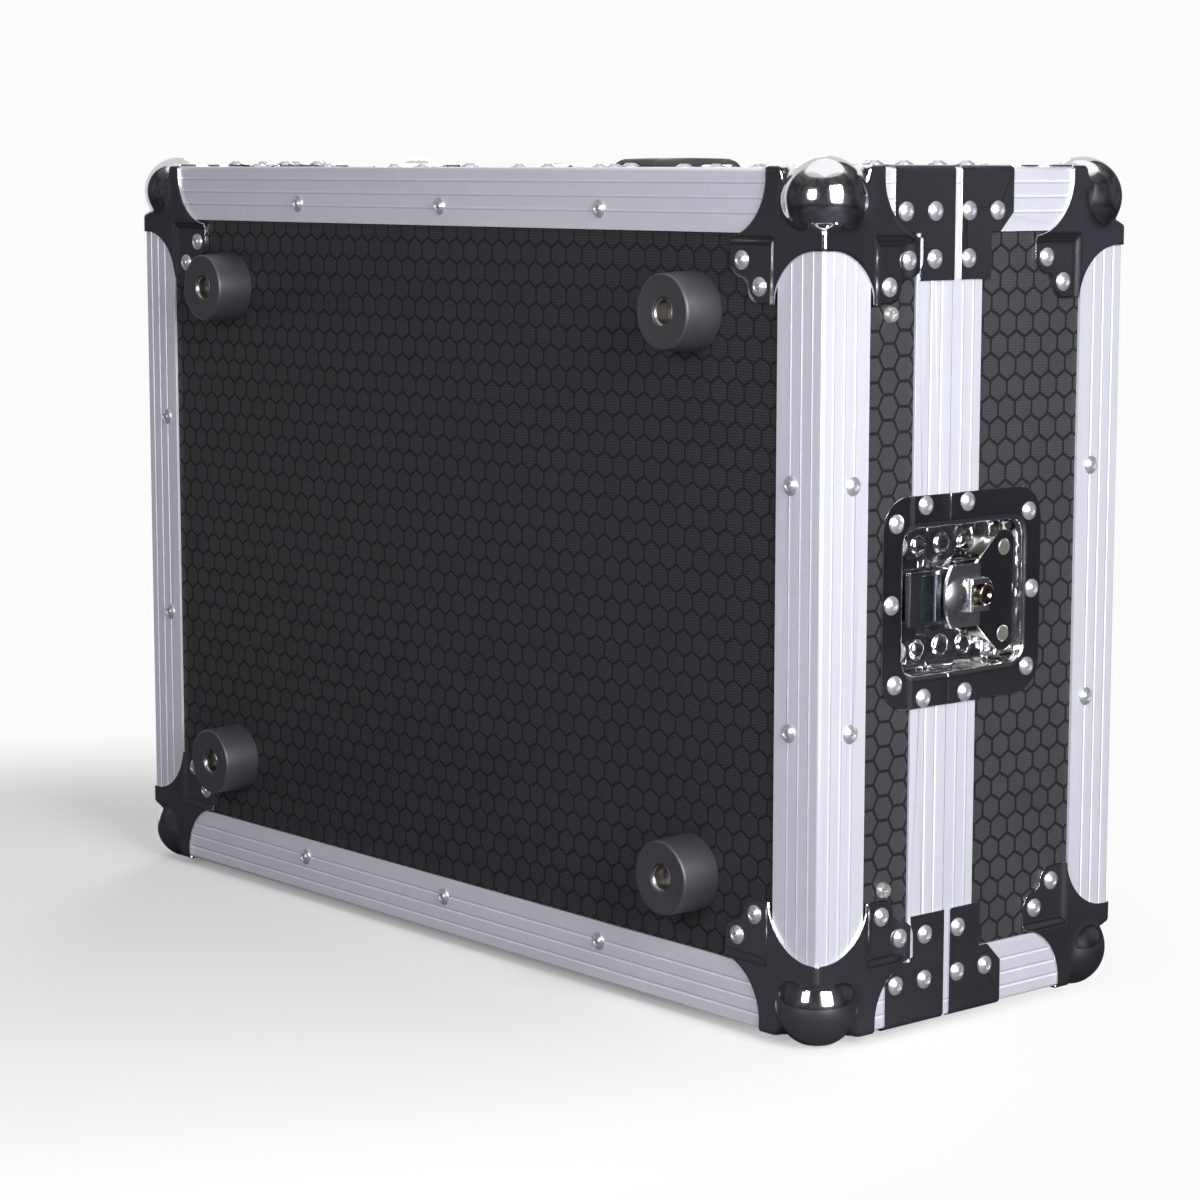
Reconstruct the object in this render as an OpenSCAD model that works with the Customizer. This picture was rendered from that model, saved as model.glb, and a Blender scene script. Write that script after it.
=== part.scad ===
// Flight case with a lift-off lid, standing on its rear side with the handle on top.
// X runs along the length, Y from the base's face to the lid's face, and Z points up.

/* [Case] */
// Outer length, along the long edges
case_l = 565; // [500:1:680]
// Outer depth, from the rear side to the handle side
case_d = 404; // [360:1:480]
// Outer height of the closed case, from the base's face to the lid's face
case_h = 204; // [198:1:240]
// Height of the base, up to the seam
base_h = 84; // [80:1:90]
// Gap between the closed rims
seam_gap = 0.3; // [0.2:0.1:0.6]

/* [Edge profiles] */
// Width of each outer flange of an edge profile
prof_w = 30; // [28:0.5:31]
// Wall of the profiles
prof_t = 1.5; // [1.2:0.1:1.8]
// Reach of the inner flanges from the outer face
prof_in = 20; // [17:0.5:22]
// Radius of the outer corner
prof_round = 1.6; // [0.5:0.1:2.4]
// Distance from the case's corner to the end of a profile
prof_cut = 34; // [33:0.5:36]
// Distance from the outer corner to the first groove
groove_first = 6.5; // [5:0.5:8]
// Distance from groove to groove
groove_pitch = 7; // [5:0.5:7.5]
// Number of grooves in a flange
groove_n = 3; // [1:1:3]
// Width of a groove
groove_w = 1; // [0.6:0.1:1.6]
// Depth of a groove
groove_deep = 0.4; // [0.2:0.1:0.7]

/* [Panels] */
// Thickness of the laminated plywood
ply_t = 7; // [6.5:0.1:7.5]

/* [Rims] */
// Width of the base rim's outer flange
rim_base_w = 24; // [22:0.5:25]
// Width of the lid rim's outer flange
rim_lid_w = 20; // [18:0.5:22]
// Depth of the solid web at the seam
rim_web = 9.5; // [8:0.5:11]
// Reach of the rim's inner flange from the seam
rim_in = 17; // [15:0.5:17.5]
// Thickness of the tongue
tongue_w = 2.2; // [1.6:0.1:3]
// Height of the tongue
tongue_h = 4; // [2.5:0.1:5]
// Clearance round the tongue in its groove
tongue_gap = 0.3; // [0.2:0.05:0.5]

/* [Sheet steel] */
// Thickness of the corner, brace and dish sheets
sheet_t = 1.2; // [1:0.05:1.3]

/* [Ball corners] */
// Radius of the ball
ball_r = 19.5; // [18.5:0.1:20]
// Distance from each face to the ball's centre
ball_in = 14.2; // [13.5:0.1:15]
// Radius of the raised collar round the ball
collar_r = 17; // [16:0.1:18]
// Height of the collar above the plate
collar_h = 1.2; // [0.6:0.1:1.8]
// Rounding of the folded edges
fold_r = 3; // [2:0.1:3.6]
// Far coordinate of a corner rivet
lobe_far = 54.5; // [52:0.5:56]
// Near coordinate of a corner rivet
lobe_near = 42.5; // [41:0.5:45]
// Radius of the round lobe at a corner rivet
lobe_r = 8; // [6.5:0.1:8.5]
// Radius of the arch cut over a profile
arch_r = 28.5; // [27:0.5:30]
// Distance of the arch's centre along the profile
arch_far = 66; // [65:0.5:68]
// Distance of the arch's centre across the profile
arch_near = 4; // [2:0.5:6]
// Clearance between the profile's edge and the step in the plate
step_gap = 1; // [0.5:0.1:1.5]

/* [Corner braces] */
// Length of the brace's narrow leg, along the corner post
brace_leg = 40; // [38:0.5:42]
// Width of the narrow leg
brace_w = 30; // [28:0.5:31]
// Reach of the wide foot, along the rim
brace_foot = 52; // [50:0.5:56]
// Width of the base brace's foot
brace_base_foot_w = 23; // [20:0.5:23.5]
// Width of the lid brace's foot
brace_lid_foot_w = 25; // [22:0.5:27]
// Rim left bare between the seam and the lid brace
brace_lid_gap = 4; // [2:0.5:5]
// Cut corner of the lid brace's leg
brace_chamfer = 9; // [5:0.5:11]
// Distance of the brace's outer rivets from the corner
brace_rivet_in = 20; // [18:0.5:22]
// Distance of the foot's rivet from the corner
brace_rivet_foot = 42; // [40:0.5:44]
// First row of the base brace's rivets, from the seam
brace_base_row = 13.4; // [12:0.1:15]
// First row of the lid brace's rivets, from the seam
brace_lid_row = 9.4; // [9:0.1:11]
// Distance between the rows of rivets
brace_row_pitch = 19.4; // [18:0.1:21]

/* [Rivets] */
// Radius of a rivet head
rivet_r = 4.5; // [3.6:0.1:5]
// Height of a rivet head
rivet_h = 2.2; // [1.6:0.1:2.6]
// Radius of a rivet's shank
shank_r = 1.6; // [1.2:0.1:2]
// Depth of a rivet's shank below the outer face
shank_deep = 6.5; // [5:0.1:7.5]
// Radius of the dimple in a rivet head
dimple_r = 1.1; // [0.8:0.1:1.6]
// Depth of the dimple
dimple_deep = 0.7; // [0.3:0.1:1]
// Distance of a profile's rivets from the outer corner
prof_rivet_in = 20; // [17:0.5:22]
// Distance of the long profiles' outer rivets from the middle
long_rivet_x = 127; // [100:1:150]
// Distance of the short profiles' rivets from the middle
short_rivet_z = 57.5; // [40:0.5:70]

/* [Latch dish] */
// Width of the dish's flange
dish_w = 100.7; // [98:0.1:104]
// Reach of the flange below the seam
dish_base = 43.5; // [42:0.1:45]
// Reach of the flange above the seam
dish_lid = 65; // [63:0.1:67]
// Corner radius of the flange
dish_corner = 16; // [12:0.5:18]
// Width of the opening
open_w = 69; // [66:0.5:71]
// Reach of the opening below the seam
open_base = 29; // [28:0.1:30]
// Reach of the opening above the seam
open_lid = 53; // [52:0.1:54]
// Corner radius of the opening
open_corner = 8; // [6:0.5:10]
// Depth of the dish
dish_deep = 14; // [13.8:0.1:16]
// Clearance round the dish in the panel
dish_gap = 0.3; // [0.1:0.1:0.6]
// Distance of the dish's side rivets from the middle
dish_rivet_side = 45.6; // [44.5:0.1:46]
// Distance of the dish's corner rivets from the middle
dish_rivet_corner = 37.9; // [36:0.1:39]
// Base rivets from the seam: side, corner and middle
dish_base_rows = [16.9, 34.8, 37.6];
// Lid rivets from the seam: side, corner and middle
dish_lid_rows = [11.5, 56.4, 59];

/* [Latch] */
// Height of the hub above the seam
hub_u = 26.5; // [26:0.1:27]
// Radius of the hub disc
hub_r = 8; // [7:0.1:8.2]
// Thickness of the hub disc
hub_t = 1.4; // [1.2:0.1:2]
// Radius of the hub's shaft
shaft_r = 3; // [2.5:0.1:3.4]
// Radial clearance of running fits
run_gap = 0.1; // [0.05:0.01:0.1]
// Clearance between moving pieces
move_gap = 0.3; // [0.2:0.05:0.4]
// Radius of the cam
cam_r = 7; // [6:0.1:7.2]
// Offset of the cam from the shaft
cam_off = 3; // [2:0.1:3]
// Thickness of the cam
cam_t = 2; // [1.6:0.1:2.2]
// Play of the cam in the claw's window
cam_play = 0.9; // [0.8:0.05:1]
// Thickness of the claw, bracket and wing sheets
latch_t = 1.6; // [1.4:0.05:1.6]
// Radius of the bracket round the shaft
bracket_hub_r = 12; // [10:0.1:13]
// Radius of the bracket round a rivet
bracket_lobe_r = 8.5; // [7:0.1:9]
// Height of the bracket's rivets above the seam
bracket_u = 43.5; // [43:0.1:44]
// Distance of the bracket's rivets from the middle
bracket_w = 21; // [20.5:0.1:22]
// Radius of the bracket's standoffs
standoff_r = 4; // [3:0.1:4.2]
// Width of the claw's tongue
claw_w = 26; // [22:0.5:28]
// Reach of the claw below the seam
claw_reach = 19; // [17:0.1:20]
// Margin of the claw round its window
claw_rim = 4.5; // [3.5:0.1:5]
// Width of the slots in the claw
claw_slot = 1.8; // [1:0.1:2]
// Distance from slot to slot
claw_slot_pitch = 3.5; // [3:0.1:4]
// Distance of the farther slot from the claw's end
claw_slot_in = 9; // [7:0.1:10]
// Radius that the wing sweeps
wing_r = 25.8; // [24:0.1:25.8]
// Width of the wing
wing_w = 30; // [26:0.5:32]
// Radius of the finger dome on the wing
dome_r = 8.5; // [6:0.1:9]
// Height of the finger dome
dome_h = 2.2; // [1:0.1:2.4]
// Radius of the wing's pin
wing_pin_r = 0.8; // [0.6:0.05:0.9]
// Radius of the wing's ears
ear_r = 1.8; // [1.7:0.05:2]
// Thickness of the wing's ears
ear_t = 2.5; // [2:0.1:3]
// Half width of the hub's block between the ears
block_w = 5; // [4:0.1:5.5]
// Half width of the keeper's plate
keeper_w = 30; // [28:0.5:32]
// Half width of the keeper's hook
hook_w = 12; // [10:0.5:13]
// Distance of the keeper's hook below the seam
hook_u = 13; // [12:0.1:14]
// Length of the keeper's lip
hook_lip = 5.5; // [4:0.1:6]
// Distance of the keeper's rivets below the seam
keeper_rivet_u = 20; // [18:0.1:22]
// Distance of the keeper's rivets from the middle
keeper_rivet_w = 25; // [22:0.5:26]

/* [Handle] */
// How far the handle's middle stands off the case's middle
handle_x = 10; // [-30:1:30]
// Length of the handle dish's flange
tub_l = 174; // [170:1:190]
// Width of the handle dish's flange
tub_w = 68; // [66:0.5:69]
// Corner radius of the flange
tub_corner = 10; // [6:0.5:14]
// Border of the flange round the opening
tub_border = 9.5; // [9.3:0.1:10]
// Depth of the handle dish below the panel
tub_deep = 20; // [16:0.5:22]
// Distance of the long sides' rivets from the middle
tub_rivet_x = 56; // [40:1:60]
// Inset of the rivets from the flange's edge
tub_rivet_in = 5; // [4.8:0.1:5.2]
// Distance from a bail's arm to the end of the rubber grip
grip_in = 13; // [10:0.5:15]
// Radius of the rubber grip
grip_r = 9; // [8:0.1:9.2]
// Distance from the pivot to the grip
grip_arm = 29; // [28:0.1:29.5]
// Depth of the grip's axis below the profiles' face
grip_deep = 4; // [3.8:0.1:5]
// Radius of the bail's rod
bail_r = 3.5; // [3:0.1:4]
// Distance from the end of the opening to a bail's arm
bail_in = 17.5; // [15.5:0.5:21.5]
// Radius of the eye at the bail's end
eye_r = 5; // [4.5:0.1:6]
// Radius of the pivot pins
pivot_r = 2.2; // [1.8:0.1:2.4]

/* [Feet] */
// Radius of a foot at the panel
foot_r = 19; // [17:0.5:21]
// Radius of a foot at its free end
foot_tip_r = 18; // [15:0.5:18.5]
// Height of a foot
foot_h = 21; // [18:0.5:24]
// Distance of the feet from the ends
foot_x = 88; // [80:1:110]
// Distance of the feet from the rear and handle sides
foot_z = 67; // [64:1:80]
// Radius of the counterbore
foot_hole_r = 6.5; // [6:0.1:8]
// Depth of the counterbore
foot_hole_deep = 13; // [9:0.5:15]
// Radius of a foot's washer
washer_r = 6; // [5:0.1:6.2]
// Thickness of a foot's washer
washer_t = 1.2; // [0.8:0.1:1.6]
// Radius of a foot screw's head
screw_head_r = 4.2; // [3.5:0.1:4.6]
// Height of a screw's head
screw_head_h = 2.6; // [2:0.1:3]
// Radius of a screw's shank
screw_r = 2.1; // [1.8:0.1:2.4]
// Width of the cross in a screw's head
cross_w = 1.2; // [0.8:0.1:1.4]

/* [Inside] */
// Height of the support rails above the base's face
rail_y = 36.5; // [34:0.5:37]
// Height of a support rail
rail_h = 15; // [14:0.5:15.5]
// Thickness of a support rail
rail_t = 20; // [16:1:24]
// Distance of the rails' ends from the rear and handle sides
rail_end = 50; // [40:1:70]
// Distance of the rail screws from the rear and handle sides
rail_screw_z = 67; // [66:1:90]
// Radius of a rail screw's head
rail_head_r = 4; // [3.6:0.1:4.2]
// Thickness of the base's floor foam
floor_foam = 12; // [8:0.5:14]
// Thickness of the lid's foam pad
lid_foam = 20; // [12:1:24]
// Thickness of the foam on the walls
wall_foam = 8; // [5:0.5:12]
// Height of the foam on the lid's end walls
end_foam_h = 33; // [20:1:34]
// Clearance between the foam and its neighbours
foam_gap = 0.5; // [0.3:0.1:1]

/* [Hidden] */
$fn = 48;
over = 1;
rivet_fn = 24;
hole_fn = 32;
lid_h = case_h - base_h;
slot_out = prof_t;
slot_in = prof_t + ply_t;
web_in = slot_in + prof_t;
half_gap = seam_gap / 2;
proud = ball_r - ball_in;
foot_out = foot_h - prof_t;
shift_y = -(case_h + proud - foot_out) / 2;
mid_z = case_d / 2;
step_in = prof_w + step_gap;
plate_far = lobe_far + lobe_r;
saddle = lobe_far - 2 * sheet_t;
skin = -prof_t;
on_skin = sheet_t - prof_t;
dish_floor = -dish_deep;
tub_half = open_w / 2 + sheet_t;
tub_base = open_base + sheet_t;
tub_lid = open_lid + sheet_t;
claw_out = dish_floor + move_gap + cam_t + latch_t;
cam_z = dish_floor + 2 * move_gap + cam_t;
keeper_top = dish_floor + 2 * latch_t + cam_t + 2 * move_gap;
claw_top_z = keeper_top + move_gap;
bracket_z = dish_floor + 5 * latch_t;
hub_z = bracket_z + latch_t + move_gap;
block_z = hub_z + hub_t;
pin_z = block_z + move_gap + ear_r;
wing_z = hub_z + hub_t / 2 - move_gap;
wing_top = wing_z + latch_t;
wing_bore = hub_r + 2 * move_gap;
cam_u = hub_u + cam_off;
window_half = cam_r + cam_play;
window_w = cam_r + cam_off + cam_play;
ear_w = block_w + move_gap;
taper_share = 0.8;
knuckle_share = 1.5;
tub_y = base_h + rim_lid_w + (lid_h - rim_lid_w - prof_w) / 2;
tub_in_l = tub_l - 2 * tub_border;
tub_in_w = tub_w - 2 * tub_border;
grip_y = tub_y + tub_in_w / 2 - grip_r - 2 * tongue_gap;
pivot_y = grip_y - grip_arm;
bail_x = tub_in_l / 2 - bail_in;
grip_l = 2 * (bail_x - grip_in);
knuckle_r = bail_r * knuckle_share;
eye_l = bail_in + eye_r - move_gap;

// Stands the case on its rear side, centred, with the ball corners at the floor
module place() {
    translate([0, shift_y, proud]) children();
}

// Turns a half shell's frame, whose face is at Y zero, into the lid's
module lid_half() {
    translate([0, case_h, 0]) mirror([0, 1, 0]) children();
}

module flip(on, axis) {
    if (on) mirror(axis) children();
    else children();
}

// Faces: local x and y lie in the face, and local z points out of it
module end_face(left) {
    flip(left, [1, 0, 0]) translate([case_l / 2, 0, 0]) rotate([90, 0, 90]) children();
}

module front_face() {
    translate([0, 0, case_d]) children();
}

module rear_face() {
    mirror([0, 0, 1]) children();
}

module outer_face() {
    rotate([90, 0, 0]) children();
}

// Puts children at the four corners of a half shell, each in its own octant
module four_corners() {
    for (right = [false, true], front = [false, true])
        translate([right ? case_l / 2 : -case_l / 2, 0, front ? case_d : 0])
            flip(right, [1, 0, 0]) flip(front, [0, 0, 1]) children();
}

// The latch's frame: x above the seam, y across, z out of the end face
module latch_frame(left) {
    end_face(left) translate([base_h, mid_z, 0]) children();
}

// A rectangle with round corners
module rounded(x0, x1, y0, y1, r) {
    translate([x0 + r, y0]) square([x1 - x0 - 2 * r, y1 - y0]);
    translate([x0, y0 + r]) square([x1 - x0, y1 - y0 - 2 * r]);
    for (x = [x0 + r, x1 - r], y = [y0 + r, y1 - r]) translate([x, y]) circle(r);
}

// What is cut off an outer corner to round it
module corner_cut(r) {
    difference() {
        translate([-over, -over]) square(r + over);
        translate([r, r]) circle(r);
    }
}

// Section of an edge profile, with its outer corner at the origin
module edge_section() {
    difference() {
        union() {
            square([prof_w, prof_t]);
            square([prof_t, prof_w]);
            square(web_in);
            translate([slot_in, slot_in]) square([prof_in - slot_in, prof_t]);
            translate([slot_in, slot_in]) square([prof_t, prof_in - slot_in]);
        }
        translate([slot_out, slot_out]) square(ply_t);
        corner_cut(prof_round);
        for (i = [0 : groove_n - 1], turn = [false, true])
            flip(turn, [1, -1, 0])
                translate([groove_first + i * groove_pitch - groove_w / 2, -over])
                    square([groove_w, groove_deep + over]);
    }
}

// Section of a rim: x runs inwards from the outer face, y down from the seam
module rim_section(flange, lid) {
    mid = web_in / 2;
    difference() {
        union() {
            translate([0, half_gap]) square([web_in, rim_web - half_gap]);
            translate([0, half_gap]) square([prof_t, flange - half_gap]);
            translate([slot_in, half_gap]) square([prof_t, rim_in - half_gap]);
            if (lid) translate([mid - tongue_w / 2, -tongue_h])
                square([tongue_w, tongue_h + rim_web / 2]);
        }
        if (!lid) translate([mid - tongue_w / 2 - tongue_gap, -over])
            square([tongue_w + 2 * tongue_gap, tongue_h + tongue_gap + over]);
        for (i = [1 : groove_n - 1])
            translate([-over, i * groove_pitch - groove_w / 2])
                square([groove_deep + over, groove_w]);
    }
}

// Rivets of the kinds of place on each face of a half shell, as [x, y] in the face
function mirrored(points, middle) =
    [for (p = points) p, for (p = points) [2 * middle - p[0], p[1]]];
function lobe_pair() = [[lobe_far, lobe_near], [lobe_near, lobe_far]];
function outer_corner_points() =
    [for (sx = [-1, 1], top = [false, true], p = lobe_pair())
        [sx * (case_l / 2 - p[0]), top ? case_d - p[1] : p[1]]];
function outer_profile_points() = concat(
    [for (x = [-long_rivet_x, 0, long_rivet_x], z = [prof_rivet_in, case_d - prof_rivet_in])
        [x, z]],
    [for (sx = [-1, 1], sz = [-1, 1])
        [sx * (case_l / 2 - prof_rivet_in), mid_z + sz * short_rivet_z]]);
function end_corner_points() =
    [for (p = lobe_pair(), top = [false, true]) [p[0], top ? case_d - p[1] : p[1]]];
function end_profile_points() =
    [for (s = [-1, 1]) [prof_rivet_in, mid_z + s * short_rivet_z]];
function side_corner_points() =
    [for (p = lobe_pair(), s = [-1, 1]) [s * (case_l / 2 - p[0]), p[1]]];
function side_profile_points() =
    [for (x = [-long_rivet_x, 0, long_rivet_x]) [x, prof_rivet_in]];
function brace_points(h, row) =
    [[h - row, brace_rivet_in], [h - row - brace_row_pitch, brace_rivet_in],
     [h - row, brace_rivet_foot]];
function end_brace_points(h, row) =
    [for (p = brace_points(h, row), top = [false, true]) [p[0], top ? case_d - p[1] : p[1]]];
function side_brace_points(h, row) =
    [for (p = brace_points(h, row), s = [-1, 1]) [s * (case_l / 2 - p[1]), p[0]]];
function dish_side_points(h, rows) =
    [for (s = [-1, 1]) [h - rows[0], mid_z + s * dish_rivet_side]];
function dish_skin_points(h, rows) = concat(
    [for (s = [-1, 1]) [h - rows[1], mid_z + s * dish_rivet_corner]],
    [[h - rows[2], mid_z]]);
function tub_points() =
    let (y = tub_w / 2 - tub_rivet_in, x = tub_l / 2 - tub_rivet_in - sheet_t)
    concat([for (sx = [-1, 0, 1], sy = [-1, 1]) [sx * tub_rivet_x, sy * y]],
           [for (sx = [-1, 1], sy = [-1, 0, 1]) [sx * x, sy * y]]);

module at(points) {
    for (p = points) translate([p[0], p[1], 0]) children();
}

// A rivet: a domed head with a dimple, on a shank that ends in the plywood
module rivet(level) {
    cap = (rivet_r * rivet_r + rivet_h * rivet_h) / (2 * rivet_h);
    difference() {
        intersection() {
            translate([0, 0, level + rivet_h - cap]) sphere(cap, $fn = rivet_fn);
            translate([0, 0, level]) cylinder(r = rivet_r, h = rivet_h, $fn = rivet_fn);
        }
        translate([0, 0, level + rivet_h - dimple_deep])
            cylinder(r = dimple_r, h = dimple_deep + over, $fn = rivet_fn);
    }
    shank(level);
}

module shank(level) {
    translate([0, 0, -shank_deep])
        cylinder(r = shank_r, h = shank_deep + level, $fn = rivet_fn);
}

// The holes that shanks leave in what they pass through
module shank_holes(points) {
    at(points) translate([0, 0, -shank_deep])
        cylinder(r = shank_r, h = shank_deep + sheet_t + over, $fn = rivet_fn);
}

module outer_holes() {
    outer_face() shank_holes(concat(outer_corner_points(), outer_profile_points()));
}

module end_holes(h, row, rows) {
    shank_holes(concat(end_corner_points(), end_profile_points(),
        end_brace_points(h, row), dish_side_points(h, rows), dish_skin_points(h, rows)));
}

module side_holes(h, row) {
    shank_holes(concat(side_corner_points(), side_profile_points(),
        side_brace_points(h, row)));
}

module base_end_holes(left) {
    end_face(left) end_holes(base_h, brace_base_row, dish_base_rows);
}

module lid_end_holes(left) {
    end_face(left) end_holes(lid_h, brace_lid_row, dish_lid_rows);
}

// Panels of a half shell of height h
module outer_panel() {
    translate([-case_l / 2 + web_in, slot_out, web_in])
        cube([case_l - 2 * web_in, ply_t, case_d - 2 * web_in]);
}

module side_panel(h) {
    translate([-case_l / 2 + web_in, web_in, -slot_in])
        cube([case_l - 2 * web_in, h - web_in - rim_web, ply_t]);
}

module end_panel(h) {
    translate([web_in, web_in, -slot_in])
        cube([h - web_in - rim_web, case_d - 2 * web_in, ply_t]);
}

// The hole for a latch dish in an end panel or a rim, reaching down from the seam
module dish_hole(h, reach) {
    translate([h - reach - dish_gap, mid_z - tub_half - dish_gap, -web_in - over])
        cube([reach + dish_gap + over, 2 * (tub_half + dish_gap), web_in + 2 * over]);
}

module base_floor_panel() color("#2a2a2d") place() difference() {
    outer_panel();
    outer_holes();
    outer_face() at(foot_points()) translate([0, 0, -shank_deep])
        cylinder(r = screw_r, h = shank_deep, $fn = hole_fn);
}

module base_front_panel() color("#2a2a2d") place() front_face() difference() {
    side_panel(base_h);
    side_holes(base_h, brace_base_row);
}

module base_rear_panel() color("#2a2a2d") place() rear_face() difference() {
    side_panel(base_h);
    side_holes(base_h, brace_base_row);
}

module base_end_panel(left) place() difference() {
    end_face(left) difference() {
        end_panel(base_h);
        dish_hole(base_h, tub_base);
        at(rail_screw_points()) translate([0, 0, -slot_in - over])
            cylinder(r = screw_r, h = slot_in + 2 * over, $fn = hole_fn);
    }
    base_end_holes(left);
}

module base_left_panel() color("#38383c") base_end_panel(true);

module base_right_panel() color("#38383c") base_end_panel(false);

module lid_top_panel() color("#2a2a2d") place() lid_half() difference() {
    outer_panel();
    outer_holes();
}

module lid_front_panel() color("#2a2a2d") place() difference() {
    lid_half() front_face() difference() {
        side_panel(lid_h);
        side_holes(lid_h, brace_lid_row);
    }
    handle_frame() translate([0, 0, -slot_in - over]) linear_extrude(ply_t + 2 * over)
        rounded(-tub_in_l / 2 - sheet_t - dish_gap, tub_in_l / 2 + sheet_t + dish_gap,
            -tub_in_w / 2 - sheet_t - dish_gap, tub_in_w / 2 + sheet_t + dish_gap,
            tub_corner / 2);
    handle_frame() shank_holes(tub_points());
}

module lid_rear_panel() color("#2a2a2d") place() lid_half() rear_face() difference() {
    side_panel(lid_h);
    side_holes(lid_h, brace_lid_row);
}

module lid_end_panel(left) place() lid_half() difference() {
    end_face(left) difference() {
        end_panel(lid_h);
        dish_hole(lid_h, tub_lid);
    }
    lid_end_holes(left);
}

module lid_left_panel() color("#38383c") lid_end_panel(true);

module lid_right_panel() color("#38383c") lid_end_panel(false);

// Edge profiles of a half shell
module long_edges() {
    for (front = [false, true])
        translate([0, 0, front ? case_d : 0]) flip(front, [0, 0, 1])
            translate([-case_l / 2 + prof_cut, 0, 0]) rotate([90, 0, 90])
                linear_extrude(case_l - 2 * prof_cut) edge_section();
}

module short_edges() {
    for (right = [false, true])
        flip(right, [1, 0, 0]) translate([-case_l / 2, 0, prof_cut])
            linear_extrude(case_d - 2 * prof_cut) edge_section();
}

module corner_posts(h, flange) {
    four_corners() translate([0, h - flange, 0]) rotate([90, 0, 0])
        linear_extrude(h - flange - prof_cut) edge_section();
}

// Long rims run from end to end, under the corner braces
module long_rims(h, flange, lid) {
    for (front = [false, true])
        translate([-case_l / 2, h, front ? case_d : 0]) flip(front, [0, 0, 1])
            rotate([90, 0, 90]) linear_extrude(case_l)
                mirror([1, -1, 0]) mirror([0, 1, 0]) rim_section(flange, lid);
}

// Short rims butt against the long ones and stop at the latch dishes
module short_rims(h, flange, lid) {
    for (right = [false, true], top = [false, true])
        flip(right, [1, 0, 0]) translate([-case_l / 2, h, top ? mid_z + tub_half : web_in])
            linear_extrude(mid_z - tub_half - web_in)
                mirror([0, 1, 0]) rim_section(flange, lid);
}

module base_side_cuts() {
    front_face() side_holes(base_h, brace_base_row);
    rear_face() side_holes(base_h, brace_base_row);
    base_end_holes(false);
    base_end_holes(true);
}

module lid_side_cuts() {
    front_face() side_holes(lid_h, brace_lid_row);
    rear_face() side_holes(lid_h, brace_lid_row);
    lid_end_holes(false);
    lid_end_holes(true);
}

module base_long_profiles() color("#c8c8d2") place() difference() {
    union() {
        long_edges();
        long_rims(base_h, rim_base_w, false);
    }
    outer_holes();
    base_side_cuts();
}

module base_short_profiles() color("#c8c8d2") place() difference() {
    union() {
        short_edges();
        short_rims(base_h, rim_base_w, false);
    }
    outer_holes();
    base_side_cuts();
}

module base_corner_posts() color("#c8c8d2") place() difference() {
    corner_posts(base_h, rim_base_w);
    base_side_cuts();
}

module lid_long_profiles() color("#c8c8d2") place() lid_half() difference() {
    union() {
        long_edges();
        long_rims(lid_h, rim_lid_w, true);
    }
    outer_holes();
    lid_side_cuts();
}

module lid_short_profiles() color("#c8c8d2") place() lid_half() difference() {
    union() {
        short_edges();
        short_rims(lid_h, rim_lid_w, true);
    }
    outer_holes();
    lid_side_cuts();
}

module lid_corner_posts() color("#c8c8d2") place() lid_half() difference() {
    corner_posts(lid_h, rim_lid_w);
    lid_side_cuts();
}

// Outline of one of a ball corner's three plates
module plate_outline() {
    difference() {
        union() {
            translate([-sheet_t, -sheet_t]) square([plate_far + sheet_t, lobe_near + sheet_t]);
            translate([-sheet_t, -sheet_t]) square([lobe_near + sheet_t, plate_far + sheet_t]);
            for (p = lobe_pair()) translate(p) circle(lobe_r);
            polygon([[lobe_near, lobe_near], [lobe_far, lobe_near],
                [saddle, saddle], [lobe_near, lobe_far]]);
        }
        translate([arch_far, arch_near]) circle(arch_r);
        translate([arch_near, arch_far]) circle(arch_r);
        plate_ends();
    }
}

// Beyond the arches the plate's flat reach is cut away
module plate_ends() {
    translate([arch_far - arch_r, -over - sheet_t])
        square([arch_r * 2, arch_near + over + sheet_t]);
    translate([-over - sheet_t, arch_far - arch_r])
        square([arch_near + over + sheet_t, arch_r * 2]);
}

// A plate on the plane z zero, whose outside is at negative z
module plate() {
    translate([0, 0, -sheet_t]) linear_extrude(sheet_t) difference() {
        plate_outline();
        translate([step_in + sheet_t, step_in + sheet_t]) square(plate_far);
    }
    translate([0, 0, -sheet_t]) linear_extrude(sheet_t + prof_t) intersection() {
        plate_outline();
        difference() {
            translate([step_in, step_in]) square(plate_far);
            translate([step_in + sheet_t, step_in + sheet_t]) square(plate_far);
        }
    }
    translate([0, 0, prof_t - sheet_t]) linear_extrude(sheet_t) intersection() {
        plate_outline();
        translate([step_in, step_in]) square(plate_far);
    }
    intersection() {
        translate([ball_in, ball_in, -sheet_t - collar_h])
            cylinder(r1 = collar_r - collar_h, r2 = collar_r, h = collar_h + sheet_t / 2);
        translate([fold_r, fold_r, -sheet_t - collar_h]) cube(collar_r + ball_in);
    }
}

// Turns a piece on the plane z zero onto the planes x zero and y zero too
module three_faces() {
    children();
    rotate([90, 0, 90]) children();
    rotate([90, 0, 90]) rotate([90, 0, 90]) children();
}

module fold_cut() {
    translate([-sheet_t, -sheet_t, -over - sheet_t])
        linear_extrude(arch_far) corner_cut(fold_r);
}

module ball_corner(h, flange) {
    centre = [ball_in, ball_in, ball_in];
    difference() {
        union() {
            difference() {
                three_faces() plate();
                three_faces() fold_cut();
                translate([-ball_in, -ball_in, -ball_in]) cube(2 * ball_in);
            }
            difference() {
                translate(centre) sphere(ball_r);
                difference() {
                    cube(ball_r + ball_in + over);
                    cube(ball_in);
                }
            }
        }
        translate(centre) sphere(ball_r - sheet_t);
        translate([-ball_r, h - flange - half_gap, -ball_r])
            cube([2 * plate_far, plate_far, 2 * plate_far]);
    }
}

module base_ball_corners() color("#8a8a92") place() difference() {
    four_corners() ball_corner(base_h, rim_base_w);
    outer_holes();
    base_side_cuts();
}

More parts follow.
